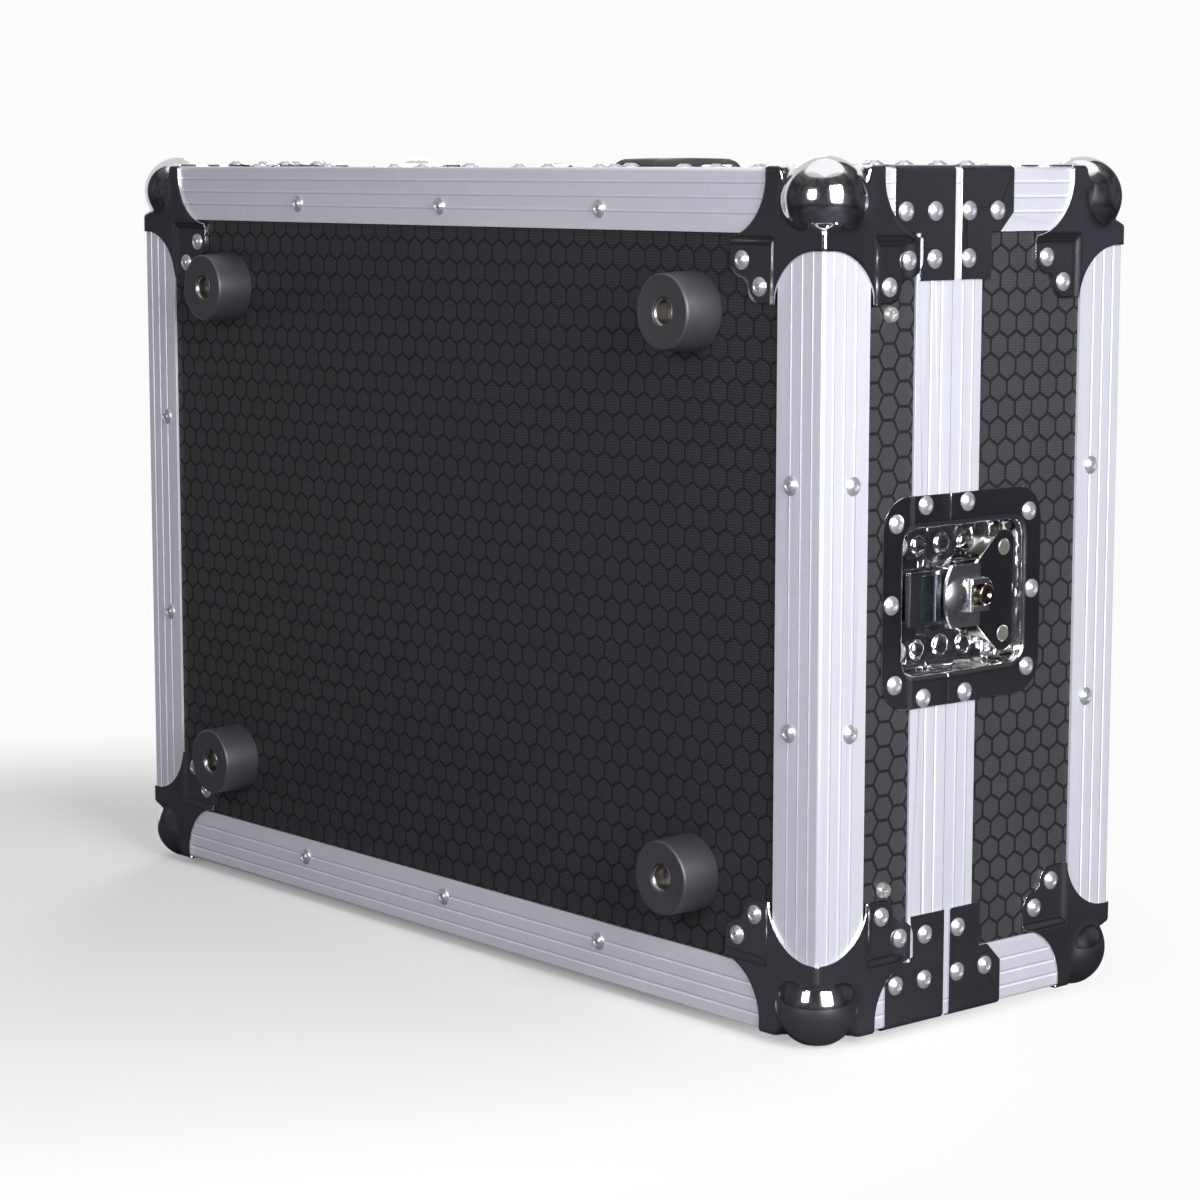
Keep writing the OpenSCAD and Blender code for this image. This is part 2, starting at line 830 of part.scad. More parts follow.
module lid_ball_corners() color("#8a8a92") place() lid_half() difference() {
    four_corners() ball_corner(lid_h, rim_lid_w);
    outer_holes();
    lid_side_cuts();
}

// A brace wraps round a vertical corner: x down from the seam, y from the corner
module brace_outline(gap, foot_w, chamfer) {
    difference() {
        union() {
            translate([gap, -sheet_t]) square([brace_leg - gap, brace_w + sheet_t]);
            translate([gap, -sheet_t]) square([foot_w - gap, brace_foot + sheet_t]);
        }
        translate([brace_leg, brace_w]) rotate(45)
            square(chamfer * sqrt(2), center = true);
    }
}

module brace(h, gap, foot_w, chamfer) {
    translate([0, h, 0]) difference() {
        for (turn = [false, true]) flip(turn, [1, 0, -1])
            translate([-sheet_t, 0, 0]) rotate([90, 0, 90]) linear_extrude(sheet_t)
                mirror([1, 0, 0]) brace_outline(gap, foot_w, chamfer);
        translate([-sheet_t, over, -sheet_t]) rotate([90, 0, 0])
            linear_extrude(brace_leg + 2 * over) corner_cut(fold_r);
    }
}

// A ball corner's plate lies over the leg of the base brace, which is cut to it
module plate_shadow() {
    translate([-over - sheet_t, 0, 0]) rotate([90, 0, 90])
        linear_extrude(over + 2 * sheet_t) plate_outline();
}

module base_corner_braces() color("#77777f") place() difference() {
    four_corners() difference() {
        brace(base_h, half_gap, brace_base_foot_w, 0);
        plate_shadow();
        flip(true, [1, 0, -1]) plate_shadow();
    }
    base_side_cuts();
}

module lid_corner_braces() color("#77777f") place() lid_half() difference() {
    four_corners() brace(lid_h, brace_lid_gap, brace_lid_foot_w, brace_chamfer);
    lid_side_cuts();
}

// Rivets, by the sheet that they hold
module base_profile_rivets() color("#e4e4ec") place() {
    outer_face() at(outer_profile_points()) rivet(0);
    front_face() at(side_profile_points()) rivet(0);
    rear_face() at(side_profile_points()) rivet(0);
    for (left = [false, true]) end_face(left) at(end_profile_points()) rivet(0);
}

module base_corner_rivets() color("#e4e4ec") place() {
    outer_face() at(outer_corner_points()) rivet(on_skin);
    front_face() at(side_corner_points()) rivet(on_skin);
    rear_face() at(side_corner_points()) rivet(on_skin);
    for (left = [false, true]) end_face(left) at(end_corner_points()) rivet(on_skin);
}

module brace_rivets(h, row) {
    front_face() at(side_brace_points(h, row)) rivet(sheet_t);
    rear_face() at(side_brace_points(h, row)) rivet(sheet_t);
    for (left = [false, true]) end_face(left) at(end_brace_points(h, row)) rivet(sheet_t);
}

module base_brace_rivets() color("#e4e4ec") place() brace_rivets(base_h, brace_base_row);

module lid_profile_rivets() color("#e4e4ec") place() lid_half() {
    outer_face() at(outer_profile_points()) rivet(0);
    front_face() at(side_profile_points()) rivet(0);
    rear_face() at(side_profile_points()) rivet(0);
    for (left = [false, true]) end_face(left) at(end_profile_points()) rivet(0);
}

module lid_corner_rivets() color("#e4e4ec") place() lid_half() {
    outer_face() at(outer_corner_points()) rivet(on_skin);
    front_face() at(side_corner_points()) rivet(on_skin);
    rear_face() at(side_corner_points()) rivet(on_skin);
    for (left = [false, true]) end_face(left) at(end_corner_points()) rivet(on_skin);
}

module lid_brace_rivets() color("#e4e4ec") place() lid_half()
    brace_rivets(lid_h, brace_lid_row);

// Latch dish: a pressed tub with a flange that steps down from the rims to the panels
module dish_outline() {
    rounded(-dish_base, dish_lid, -dish_w / 2, dish_w / 2, dish_corner);
}

module dish_rims() {
    translate([-rim_base_w - dish_gap - sheet_t, -dish_w])
        square([rim_base_w + rim_lid_w + 2 * (dish_gap + sheet_t), 2 * dish_w]);
}

module dish_opening(wall) {
    rounded(-open_base - wall, open_lid + wall, -open_w / 2 - wall, open_w / 2 + wall,
        open_corner + wall);
}

module dish() {
    difference() {
        union() {
            linear_extrude(sheet_t) intersection() {
                dish_outline();
                dish_rims();
            }
            translate([0, 0, skin]) linear_extrude(sheet_t) difference() {
                dish_outline();
                translate([-rim_base_w - dish_gap, -dish_w])
                    square([rim_base_w + rim_lid_w + 2 * dish_gap, 2 * dish_w]);
            }
            translate([0, 0, skin]) linear_extrude(sheet_t - skin) intersection() {
                dish_outline();
                difference() {
                    dish_rims();
                    translate([-rim_base_w - dish_gap, -dish_w])
                        square([rim_base_w + rim_lid_w + 2 * dish_gap, 2 * dish_w]);
                }
            }
            translate([0, 0, dish_floor - sheet_t])
                linear_extrude(dish_deep + sheet_t + on_skin) dish_opening(sheet_t);
            translate([0, 0, skin]) linear_extrude(sheet_t - skin) intersection() {
                dish_opening(sheet_t);
                dish_rims();
            }
        }
        translate([0, 0, dish_floor]) linear_extrude(dish_deep + 2 * over) dish_opening(0);
    }
}

// Everything on one side of the seam, for halving the dish
module seam_side(lid) {
    size = 2 * dish_w;
    translate([lid ? half_gap : -half_gap - size, -size / 2, -size / 2]) cube(size);
}

module latch_base_dish(left) place() difference() {
    latch_frame(left) difference() {
        intersection() {
            dish();
            seam_side(false);
        }
        keeper_holes();
    }
    base_end_holes(left);
}

module latch_lid_dish(left) place() difference() {
    latch_frame(left) intersection() {
        dish();
        seam_side(true);
    }
    lid_half() lid_end_holes(left);
}

module latch_base_dish_right() color("#6f6f77") latch_base_dish(false);

module latch_base_dish_left() color("#6f6f77") latch_base_dish(true);

module latch_lid_dish_right() color("#6f6f77") latch_lid_dish(false);

module latch_lid_dish_left() color("#6f6f77") latch_lid_dish(true);

function keeper_points() = [for (s = [-1, 1]) [-keeper_rivet_u, s * keeper_rivet_w]];

module keeper_holes() {
    at(keeper_points()) translate([0, 0, dish_floor - sheet_t - over])
        cylinder(r = shank_r, h = sheet_t + latch_t + 2 * over, $fn = rivet_fn);
}

module latch_base_rivets() color("#e4e4ec") place() for (left = [false, true]) {
    end_face(left) at(dish_side_points(base_h, dish_base_rows)) rivet(sheet_t);
    end_face(left) at(dish_skin_points(base_h, dish_base_rows)) rivet(on_skin);
    latch_frame(left) at(keeper_points()) {
        translate([0, 0, dish_floor - sheet_t])
            cylinder(r = shank_r, h = sheet_t + latch_t, $fn = rivet_fn);
        translate([0, 0, dish_floor + latch_t])
            cylinder(r1 = rivet_r, r2 = rivet_r - rivet_h / 2, h = rivet_h, $fn = rivet_fn);
    }
}

module latch_lid_rivets() color("#e4e4ec") place() lid_half() for (left = [false, true]) {
    end_face(left) at(dish_side_points(lid_h, dish_lid_rows)) rivet(sheet_t);
    end_face(left) at(dish_skin_points(lid_h, dish_lid_rows)) rivet(on_skin);
}

// The keeper: a plate on the dish's floor with a hook whose lip points away from the lid
module latch_keepers() color("#8d8d95") place() for (left = [false, true])
    latch_frame(left) difference() {
        union() {
            translate([-open_base + move_gap, -keeper_w, dish_floor])
                cube([open_base - hook_u + 3 * latch_t, 2 * keeper_w, latch_t]);
            translate([-hook_u, -hook_w, dish_floor])
                cube([latch_t, 2 * hook_w, keeper_top - dish_floor]);
            translate([-hook_u - hook_lip, -hook_w, keeper_top - latch_t])
                cube([hook_lip + latch_t, 2 * hook_w, latch_t]);
        }
        keeper_holes();
        for (s = [-1, 1]) translate([-open_base, s * keeper_w, dish_floor]) rotate(45)
            cube(open_corner, center = true);
    }

// The bracket that carries the shaft: round lobes joined by straight tangents
module bracket_outline() {
    dx = bracket_u - hub_u;
    reach = sqrt(dx * dx + bracket_w * bracket_w);
    turn = atan2(bracket_w, dx) + acos((bracket_hub_r - bracket_lobe_r) / reach);
    a = [hub_u + bracket_hub_r * cos(turn), bracket_hub_r * sin(turn)];
    b = [bracket_u + bracket_lobe_r * cos(turn), bracket_w + bracket_lobe_r * sin(turn)];
    translate([hub_u, 0]) circle(bracket_hub_r);
    for (s = [-1, 1]) translate([bracket_u, s * bracket_w]) circle(bracket_lobe_r);
    polygon([a, b, [bracket_u, bracket_w], [bracket_u + bracket_lobe_r, bracket_w],
        [bracket_u + bracket_lobe_r, -bracket_w], [bracket_u, -bracket_w],
        [b[0], -b[1]], [a[0], -a[1]]]);
}

module latch_brackets() color("#6a6a72") place() for (left = [false, true])
    latch_frame(left) translate([0, 0, bracket_z]) difference() {
        linear_extrude(latch_t) bracket_outline();
        translate([hub_u, 0, -over])
            cylinder(r = shaft_r + run_gap, h = latch_t + 2 * over);
        for (s = [-1, 1]) translate([bracket_u, s * bracket_w, -over])
            cylinder(r = standoff_r / 2, h = latch_t + 2 * over);
    }

module bracket_standoffs() color("#a9a9b2") place() for (left = [false, true], s = [-1, 1])
    latch_frame(left) translate([bracket_u, s * bracket_w, dish_floor]) {
        cylinder(r = standoff_r, h = bracket_z - dish_floor);
        cylinder(r = standoff_r / 2, h = bracket_z - dish_floor + latch_t);
        translate([0, 0, bracket_z - dish_floor + latch_t])
            cylinder(r1 = standoff_r, r2 = standoff_r - move_gap, h = move_gap);
    }

// The rotor: a shaft with a cam below the bracket and a hub with a block above it
module rotor() {
    translate([hub_u, 0, dish_floor + move_gap])
        cylinder(r = shaft_r, h = hub_z - dish_floor);
    translate([cam_u, 0, dish_floor + 2 * move_gap]) cylinder(r = cam_r, h = cam_t);
    difference() {
        union() {
            translate([hub_u, 0, hub_z]) cylinder(r = hub_r, h = hub_t);
            translate([hub_u - block_w, -block_w, block_z - over])
                cube([2 * block_w, 2 * block_w, pin_z + ear_r - block_z + over]);
        }
        translate([hub_u, -block_w - over, pin_z]) rotate([-90, 0, 0])
            cylinder(r = wing_pin_r, h = 2 * (block_w + over), $fn = hole_fn);
    }
}

module latch_rotor_right() color("#8d8d95") place() latch_frame(false) rotor();

module latch_rotor_left() color("#8d8d95") place() latch_frame(true) rotor();

module wing_pin() {
    translate([hub_u, -ear_w - ear_t, pin_z]) rotate([-90, 0, 0])
        cylinder(r = wing_pin_r, h = 2 * (ear_w + ear_t), $fn = hole_fn);
}

module latch_wing_pin_right() color("#b5b5bd") place() latch_frame(false) wing_pin();

module latch_wing_pin_left() color("#b5b5bd") place() latch_frame(true) wing_pin();

// The wing: a flat blade with a finger dome, folded down towards the base
module wing() {
    cap = (dome_r * dome_r + dome_h * dome_h) / (2 * dome_h);
    dome_u = hub_u - (wing_bore + wing_r) / 2;
    translate([0, 0, wing_z]) linear_extrude(latch_t) difference() {
        intersection() {
            translate([hub_u, 0]) circle(wing_r);
            translate([hub_u - wing_r, -wing_w / 2]) square([wing_r - ear_r, wing_w]);
        }
        translate([hub_u, 0]) circle(wing_bore);
    }
    intersection() {
        translate([dome_u, 0, wing_top + dome_h - cap]) sphere(cap);
        translate([dome_u, 0, wing_top]) cylinder(r = dome_r, h = dome_h);
    }
    for (s = [-1, 1]) difference() {
        union() {
            translate([hub_u, s * (ear_w + ear_t / 2) - ear_t / 2, pin_z])
                rotate([-90, 0, 0]) cylinder(r = ear_r, h = ear_t);
            translate([hub_u - wing_bore - ear_r, s * (ear_w + ear_t / 2) - ear_t / 2,
                pin_z - ear_r]) cube([wing_bore + ear_r, ear_t, 2 * ear_r]);
            translate([hub_u - wing_bore - ear_r, s * (ear_w + ear_t / 2) - ear_t / 2,
                wing_z]) cube([ear_r, ear_t, pin_z - wing_z]);
        }
        translate([hub_u, s * (ear_w + ear_t / 2) - ear_t, pin_z]) rotate([-90, 0, 0])
            cylinder(r = wing_pin_r + run_gap, h = 2 * ear_t, $fn = hole_fn);
    }
}

module latch_wing_right() color("#c4c4cc") place() latch_frame(false) wing();

module latch_wing_left() color("#c4c4cc") place() latch_frame(true) wing();

// The claw: a frame round the cam, stepped up to a slotted tongue over the keeper
module claw() {
    low = dish_floor + 2 * move_gap + (cam_t - latch_t) / 2;
    near = cam_u - window_half - claw_rim;
    rise = near / 2;
    difference() {
        union() {
            translate([near, -window_w - claw_rim, low])
                cube([2 * (window_half + claw_rim), 2 * (window_w + claw_rim), latch_t]);
            translate([rise, -claw_w / 2, low])
                cube([near - rise + over, claw_w, latch_t]);
        }
        translate([cam_u - window_half, -window_w, low - over])
            cube([2 * window_half, 2 * window_w, latch_t + 2 * over]);
    }
    translate([rise, -claw_w / 2, low]) cube([latch_t, claw_w, claw_top_z + latch_t - low]);
    difference() {
        translate([-claw_reach, -claw_w / 2, claw_top_z])
            cube([claw_reach + rise + latch_t, claw_w, latch_t]);
        for (i = [0, 1]) translate([-claw_reach + claw_slot_in + i * claw_slot_pitch,
            -claw_w / 2 + 2 * claw_slot, claw_top_z - over])
            cube([claw_slot, claw_w - 4 * claw_slot, latch_t + 2 * over]);
    }
}

module latch_claw_right() color("#9d9da6") place() latch_frame(false) claw();

module latch_claw_left() color("#9d9da6") place() latch_frame(true) claw();

// The handle's frame: over the middle of its dish, level with the profiles' faces
module handle_frame() {
    translate([handle_x, tub_y, case_d]) children();
}

module handle_dish() color("#6f6f77") place() difference() {
    handle_frame() translate([0, 0, skin]) difference() {
        union() {
            linear_extrude(sheet_t)
                rounded(-tub_l / 2, tub_l / 2, -tub_w / 2, tub_w / 2, tub_corner);
            translate([0, 0, -tub_deep - sheet_t]) linear_extrude(tub_deep + 2 * sheet_t)
                rounded(-tub_in_l / 2 - sheet_t, tub_in_l / 2 + sheet_t,
                    -tub_in_w / 2 - sheet_t, tub_in_w / 2 + sheet_t,
                    tub_corner / 2 + sheet_t);
        }
        translate([0, 0, -tub_deep]) linear_extrude(tub_deep + 2 * sheet_t + over)
            rounded(-tub_in_l / 2, tub_in_l / 2, -tub_in_w / 2, tub_in_w / 2, tub_corner / 2);
    }
    handle_frame() shank_holes(tub_points());
    pivot_axis() cylinder(r = pivot_r, h = tub_l, center = true, $fn = hole_fn);
}

module handle_rivets() color("#e4e4ec") place()
    handle_frame() at(tub_points()) rivet(on_skin);

// Along the handle's pivot, from the middle of the dish
module pivot_axis() {
    translate([handle_x, pivot_y, case_d - grip_deep]) rotate([0, 90, 0]) children();
}

module handle_pivot_pins() color("#b5b5bd") place() for (s = [-1, 1])
    pivot_axis() translate([0, 0, s * (tub_in_l + sheet_t - eye_l) / 2])
        cylinder(r = pivot_r, h = eye_l + sheet_t, center = true, $fn = hole_fn);

// The bail: two arms from the pins to knuckles on a bar that runs through the grip
module handle_bail() color("#a2a2aa") place() {
    for (s = [-1, 1]) {
        difference() {
            union() {
                pivot_axis() translate([0, 0, s * (tub_in_l / 2 - move_gap - eye_l / 2)])
                    cylinder(r = eye_r, h = eye_l, center = true);
                translate([handle_x + s * bail_x, pivot_y, case_d - grip_deep])
                    rotate([-90, 0, 0]) cylinder(r = bail_r, h = grip_arm);
            }
            pivot_axis() translate([0, 0, s * tub_in_l / 2])
                cylinder(r = pivot_r + run_gap, h = 2 * (eye_l + eye_r), center = true,
                    $fn = hole_fn);
        }
        translate([handle_x + s * bail_x, grip_y, case_d - grip_deep])
            cylinder(r = knuckle_r, h = 2 * knuckle_r, center = true);
    }
    translate([handle_x, grip_y, case_d - grip_deep]) rotate([0, 90, 0])
        cylinder(r = bail_r, h = 2 * bail_x, center = true);
}

module handle_grip() color("#3b3a38") place()
    translate([handle_x, grip_y, case_d - grip_deep]) rotate([0, 90, 0]) difference() {
        union() {
            cylinder(r = grip_r, h = grip_l - 2 * bail_r, center = true);
            for (s = [0, 1]) mirror([0, 0, s]) translate([0, 0, grip_l / 2 - bail_r])
                cylinder(r1 = grip_r, r2 = grip_r * taper_share, h = bail_r);
        }
        cylinder(r = bail_r, h = grip_l + over, center = true);
    }

// Feet, washers and screws on the base's outer face
function foot_points() =
    [for (sx = [-1, 1], z = [foot_z, case_d - foot_z]) [sx * (case_l / 2 - foot_x), z]];

module rubber_feet() color("#232325") place() outer_face() at(foot_points())
    translate([0, 0, skin]) difference() {
        cylinder(r1 = foot_r, r2 = foot_tip_r, h = foot_h);
        translate([0, 0, foot_h - foot_hole_deep])
            cylinder(r = foot_hole_r, h = foot_hole_deep + over);
        translate([0, 0, -over]) cylinder(r = screw_r, h = foot_h, $fn = hole_fn);
    }

module foot_washers() color("#b9b9c0") place() outer_face() at(foot_points())
    translate([0, 0, skin + foot_h - foot_hole_deep]) difference() {
        cylinder(r = washer_r, h = washer_t);
        translate([0, 0, -over]) cylinder(r = screw_r, h = washer_t + 2 * over, $fn = hole_fn);
    }

// A pan-head screw with a cross recess, its head's underside at z zero
module screw(head_r, length) {
    difference() {
        cylinder(r1 = head_r, r2 = head_r * taper_share, h = screw_head_h);
        for (turn = [0, 90]) rotate(turn)
            translate([-head_r / 2, -cross_w / 2, screw_head_h / 2])
                cube([head_r, cross_w, screw_head_h]);
    }
    translate([0, 0, -length]) cylinder(r = screw_r, h = length, $fn = hole_fn);
}

module foot_screws() color("#d2d2d8") place() outer_face() at(foot_points())
    translate([0, 0, skin + foot_h - foot_hole_deep + washer_t])
        screw(screw_head_r, skin + foot_h - foot_hole_deep + washer_t + shank_deep);

// Support rails inside the base's ends, held by screws through the end panels
function rail_screw_points() =
    [for (z = [rail_screw_z, case_d - rail_screw_z]) [rail_y + rail_h / 2, z]];

module support_rails() color("#b98f5e") place() for (left = [false, true])
    end_face(left) difference() {
        translate([rail_y, rail_end, -slot_in - rail_t])
            cube([rail_h, case_d - 2 * rail_end, rail_t]);
        at(rail_screw_points()) translate([0, 0, -slot_in - rail_t / 2])
            cylinder(r = screw_r, h = rail_t, $fn = hole_fn);
    }

module rail_screws() color("#c9c4b4") place() for (left = [false, true])
    end_face(left) at(rail_screw_points()) translate([0, 0, skin])
        screw(rail_head_r, ply_t + rail_t / 2);

// Foam liners
module base_floor_foam() color("#2b2b30") place()
    translate([-case_l / 2 + prof_in + foam_gap, slot_in, prof_in + foam_gap])
        cube([case_l - 2 * (prof_in + foam_gap), floor_foam,
            case_d - 2 * (prof_in + foam_gap)]);

module wall_strip(x0, x1, y0, y1) {
    translate([x0, y0, -slot_in - wall_foam]) cube([x1 - x0, y1 - y0, wall_foam]);
}

module base_wall_foam() color("#2b2b30") place() {
    x = case_l / 2 - web_in - rail_t - foam_gap;
    low = slot_in + floor_foam + foam_gap;
    high = base_h - rim_in - foam_gap;
    front_face() wall_strip(-x, x, low, high);
    rear_face() wall_strip(-x, x, low, high);
}

module lid_top_foam() color("#2b2b30") place() lid_half()
    translate([-case_l / 2 + prof_in + foam_gap, slot_in, prof_in + foam_gap])
        cube([case_l - 2 * (prof_in + foam_gap), lid_foam, case_d - 2 * (prof_in + foam_gap)]);

module lid_wall_foam() color("#2b2b30") place() lid_half() {
    x = case_l / 2 - prof_in - foam_gap;
    low = slot_in + lid_foam + foam_gap;
    high = lid_h - rim_in - foam_gap;
    edge = tub_in_l / 2 + 2 * sheet_t + foam_gap;
    rear_face() wall_strip(-x, x, low, high);
    front_face() wall_strip(-x, handle_x - edge, low, high);
    front_face() wall_strip(handle_x + edge, x, low, high);
    for (left = [false, true]) end_face(left)
        translate([low, prof_in + foam_gap, -slot_in - wall_foam])
            cube([end_foam_h, case_d - 2 * (prof_in + foam_gap), wall_foam]);
}

base_floor_panel();
base_front_panel();
base_rear_panel();
base_left_panel();
base_right_panel();
base_long_profiles();
base_short_profiles();
base_corner_posts();
base_ball_corners();
base_corner_braces();
base_profile_rivets();
base_corner_rivets();
base_brace_rivets();
latch_base_dish_right();
latch_base_dish_left();
latch_base_rivets();
latch_keepers();
rubber_feet();
foot_washers();
foot_screws();
support_rails();
rail_screws();
base_floor_foam();
base_wall_foam();
lid_top_panel();
lid_front_panel();
lid_rear_panel();
lid_left_panel();
lid_right_panel();
lid_long_profiles();
lid_short_profiles();
lid_corner_posts();
lid_ball_corners();
lid_corner_braces();
lid_profile_rivets();
lid_corner_rivets();
lid_brace_rivets();
latch_lid_dish_right();
latch_lid_dish_left();
latch_lid_rivets();
latch_brackets();
bracket_standoffs();
handle_dish();
handle_rivets();
handle_pivot_pins();
lid_top_foam();
lid_wall_foam();
latch_rotor_right();
latch_wing_pin_right();
latch_wing_right();
latch_claw_right();
latch_rotor_left();
latch_wing_pin_left();
latch_wing_left();
latch_claw_left();
handle_bail();
handle_grip();
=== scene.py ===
# %% [markdown]
# # A flight case for a DJ controller
# The case is black laminated plywood held in aluminium edge profiles, with chromed ball
# corners, a butterfly latch in each short end, a recessed handle and rubber feet. The
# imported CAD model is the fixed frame: what shows best as plain sheet or bar stays CAD and
# gets a finish here, and what is pressed, domed or soft is modelled again in its place.

import math

import bmesh
import bpy
from mathutils import Matrix, Vector


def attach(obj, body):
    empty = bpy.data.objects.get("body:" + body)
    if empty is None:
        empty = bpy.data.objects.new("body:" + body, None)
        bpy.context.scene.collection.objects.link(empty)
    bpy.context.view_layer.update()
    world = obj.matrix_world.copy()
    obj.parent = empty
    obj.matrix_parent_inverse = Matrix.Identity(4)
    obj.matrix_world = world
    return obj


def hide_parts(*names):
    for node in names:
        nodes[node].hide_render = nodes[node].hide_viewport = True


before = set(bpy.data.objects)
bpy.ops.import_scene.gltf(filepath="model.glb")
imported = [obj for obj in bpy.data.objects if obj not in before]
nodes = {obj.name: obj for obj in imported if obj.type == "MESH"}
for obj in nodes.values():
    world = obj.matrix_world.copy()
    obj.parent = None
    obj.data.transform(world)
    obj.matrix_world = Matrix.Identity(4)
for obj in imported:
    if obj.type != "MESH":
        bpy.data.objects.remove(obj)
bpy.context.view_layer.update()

# %% [markdown]
# ## Sizes and faces
# Drawings of such a case are in millimetres, measured from one corner: X along the length
# from the middle, Y from the base's face to the lid's, Z from the rear side to the handle
# side. A matrix for each face turns a flat drawing (across, up, out) into its place on the
# case, so that one drawing of a rivet or a dish serves every side.

# %% Sizes and faces
MM = 0.001
LENGTH, DEPTH, HEIGHT, SEAM = 565, 404, 204, 84
SHIFT = Vector((0, -94.9, 5.3))
SHEET, SKIN = 1.2, -1.5


def face_matrix(across, up, out, origin):
    m = Matrix.Identity(4)
    for i in range(3):
        m[i][0], m[i][1], m[i][2] = across[i] * MM, up[i] * MM, out[i] * MM
        m[i][3] = (origin[i] + SHIFT[i]) * MM
    return m


X, Y, Z = Vector((1, 0, 0)), Vector((0, 1, 0)), Vector((0, 0, 1))
FACES = {
    "right": face_matrix(Y, Z, X, (LENGTH / 2, 0, 0)),
    "left": face_matrix(Y, Z, -X, (-LENGTH / 2, 0, 0)),
    "base": face_matrix(X, Z, -Y, (0, 0, 0)),
    "lid": face_matrix(X, Z, Y, (0, HEIGHT, 0)),
    "handle": face_matrix(X, Y, Z, (0, 0, DEPTH)),
    "rear": face_matrix(X, Y, -Z, (0, 0, 0)),
}
print("faces:", ", ".join(FACES))

# %% [markdown]
# ## Camera
# The photograph is taken from the right front, nearly level, with a long lens. A camera
# fit to the case's straight edges gave the place, the turn and the lens below.

# %% Camera
FOCAL_PX, FRAME_PX, SENSOR_MM = 3130.1, 1200, 36
CAMERA_AT = Vector((1292.0, -990.2, 403.8))
azimuth, elevation, roll = [math.radians(deg) for deg in (49.62, 7.87, 0.047)]
camera = bpy.data.objects.new("camera", bpy.data.cameras.new("camera"))
bpy.context.scene.collection.objects.link(camera)
camera.data.sensor_width = SENSOR_MM
camera.data.lens = FOCAL_PX * SENSOR_MM / FRAME_PX
camera.data.clip_start, camera.data.clip_end = 0.05, 60
back = Vector((math.sin(azimuth) * math.cos(elevation),
               -math.cos(azimuth) * math.cos(elevation), math.sin(elevation)))
turn = (-back).to_track_quat("-Z", "Y").to_matrix() @ Matrix.Rotation(roll, 3, "Z")
camera.matrix_world = Matrix.Translation((CAMERA_AT + SHIFT) * MM) @ turn.to_4x4()
bpy.context.scene.camera = camera
print("lens: %.1f mm" % camera.data.lens)

# %% [markdown]
# ## Short words for shader nodes
# A shader is a tree of small nodes. Adding a node, filling its sockets and linking it takes a
# call for each socket, so a small class gives short words for that, and every tree below is
# built with it.


# %% Helpers for shader nodes
class Nodes:
    """Short words for adding and joining nodes in one tree."""

    def __init__(self, tree):
        self.tree = tree

    def put(self, socket, value):
        if isinstance(value, bpy.types.NodeSocket):
            self.tree.links.new(value, socket)
        else:
            socket.default_value = value

    def add(self, kind, **inputs):
        node = self.tree.nodes.new(kind)
        for name, value in inputs.items():
            self.put(node.inputs[name.replace("_", " ")], value)
        return node

    def fill(self, node, *values):
        """Fills the node's sockets in their order."""
        for socket, value in zip(node.inputs, values):
            self.put(socket, value)
        return node

    def math(self, operation, *values):
        node = self.add("ShaderNodeMath")
        node.operation = operation
        return self.fill(node, *values).outputs[0]

    def vector(self, operation, *values, scale=None):
        node = self.add("ShaderNodeVectorMath")
        node.operation = operation
        self.fill(node, *values)
        if scale is not None:
            self.put(node.inputs["Scale"], scale)
        is_number = operation in ("LENGTH", "DISTANCE", "DOT_PRODUCT")
        return node.outputs["Value" if is_number else "Vector"]

    def smooth(self, *values):
        """A smooth step of value, from low to high, and to low and high if they're given."""
        node = self.add("ShaderNodeMapRange")
        node.interpolation_type = "SMOOTHSTEP"
        return self.fill(node, *values).outputs[0]

    def axes(self, vector):
        """The vector's three parts, by name."""
        return self.add("ShaderNodeSeparateXYZ", Vector=vector).outputs

    def noise(self, vector, scale, detail=3.0, roughness=0.55):
        return self.add("ShaderNodeTexNoise", Vector=vector, Scale=scale, Detail=detail,
                        Roughness=roughness).outputs["Fac"]

    def mix_colour(self, factor, a, b):
        node = self.add("ShaderNodeMix")
        node.data_type = "RGBA"
        for i, value in ((0, factor), (6, a), (7, b)):
            self.put(node.inputs[i], value)
        return node.outputs[2]

    def end_with(self, factor, a, b, output):
        """Ends the tree with a mix of two shaders."""
        mix = self.fill(self.add("ShaderNodeMixShader"), factor, a.outputs[0], b.outputs[0])
        self.put(self.add(output).inputs["Surface"], mix.outputs[0])


def new_material(name, colour, roughness, metallic=0.0, specular=0.5):
    material = bpy.data.materials.new(name)
    material.use_nodes = True
    material.diffuse_color = (*colour, 1)
    n = Nodes(material.node_tree)
    shader = material.node_tree.nodes["Principled BSDF"]
    for label, value in (("Base Color", (*colour, 1)), ("Roughness", roughness),
                         ("Metallic", metallic), ("Specular IOR Level", specular)):
        shader.inputs[label].default_value = value
    point = n.add("ShaderNodeTexCoord").outputs["Object"]
    return material, n, shader, point


def new_object(name, bm, material):
    """Turns a bmesh into a linked object with one material, and frees it."""
    mesh = bpy.data.meshes.new(name)
    bm.to_mesh(mesh)
    bm.free()
    mesh.materials.append(material)
    obj = bpy.data.objects.new(name, mesh)
    bpy.context.scene.collection.objects.link(obj)
    return obj


def verts_in(geom):
    return [g for g in geom if isinstance(g, bmesh.types.BMVert)]
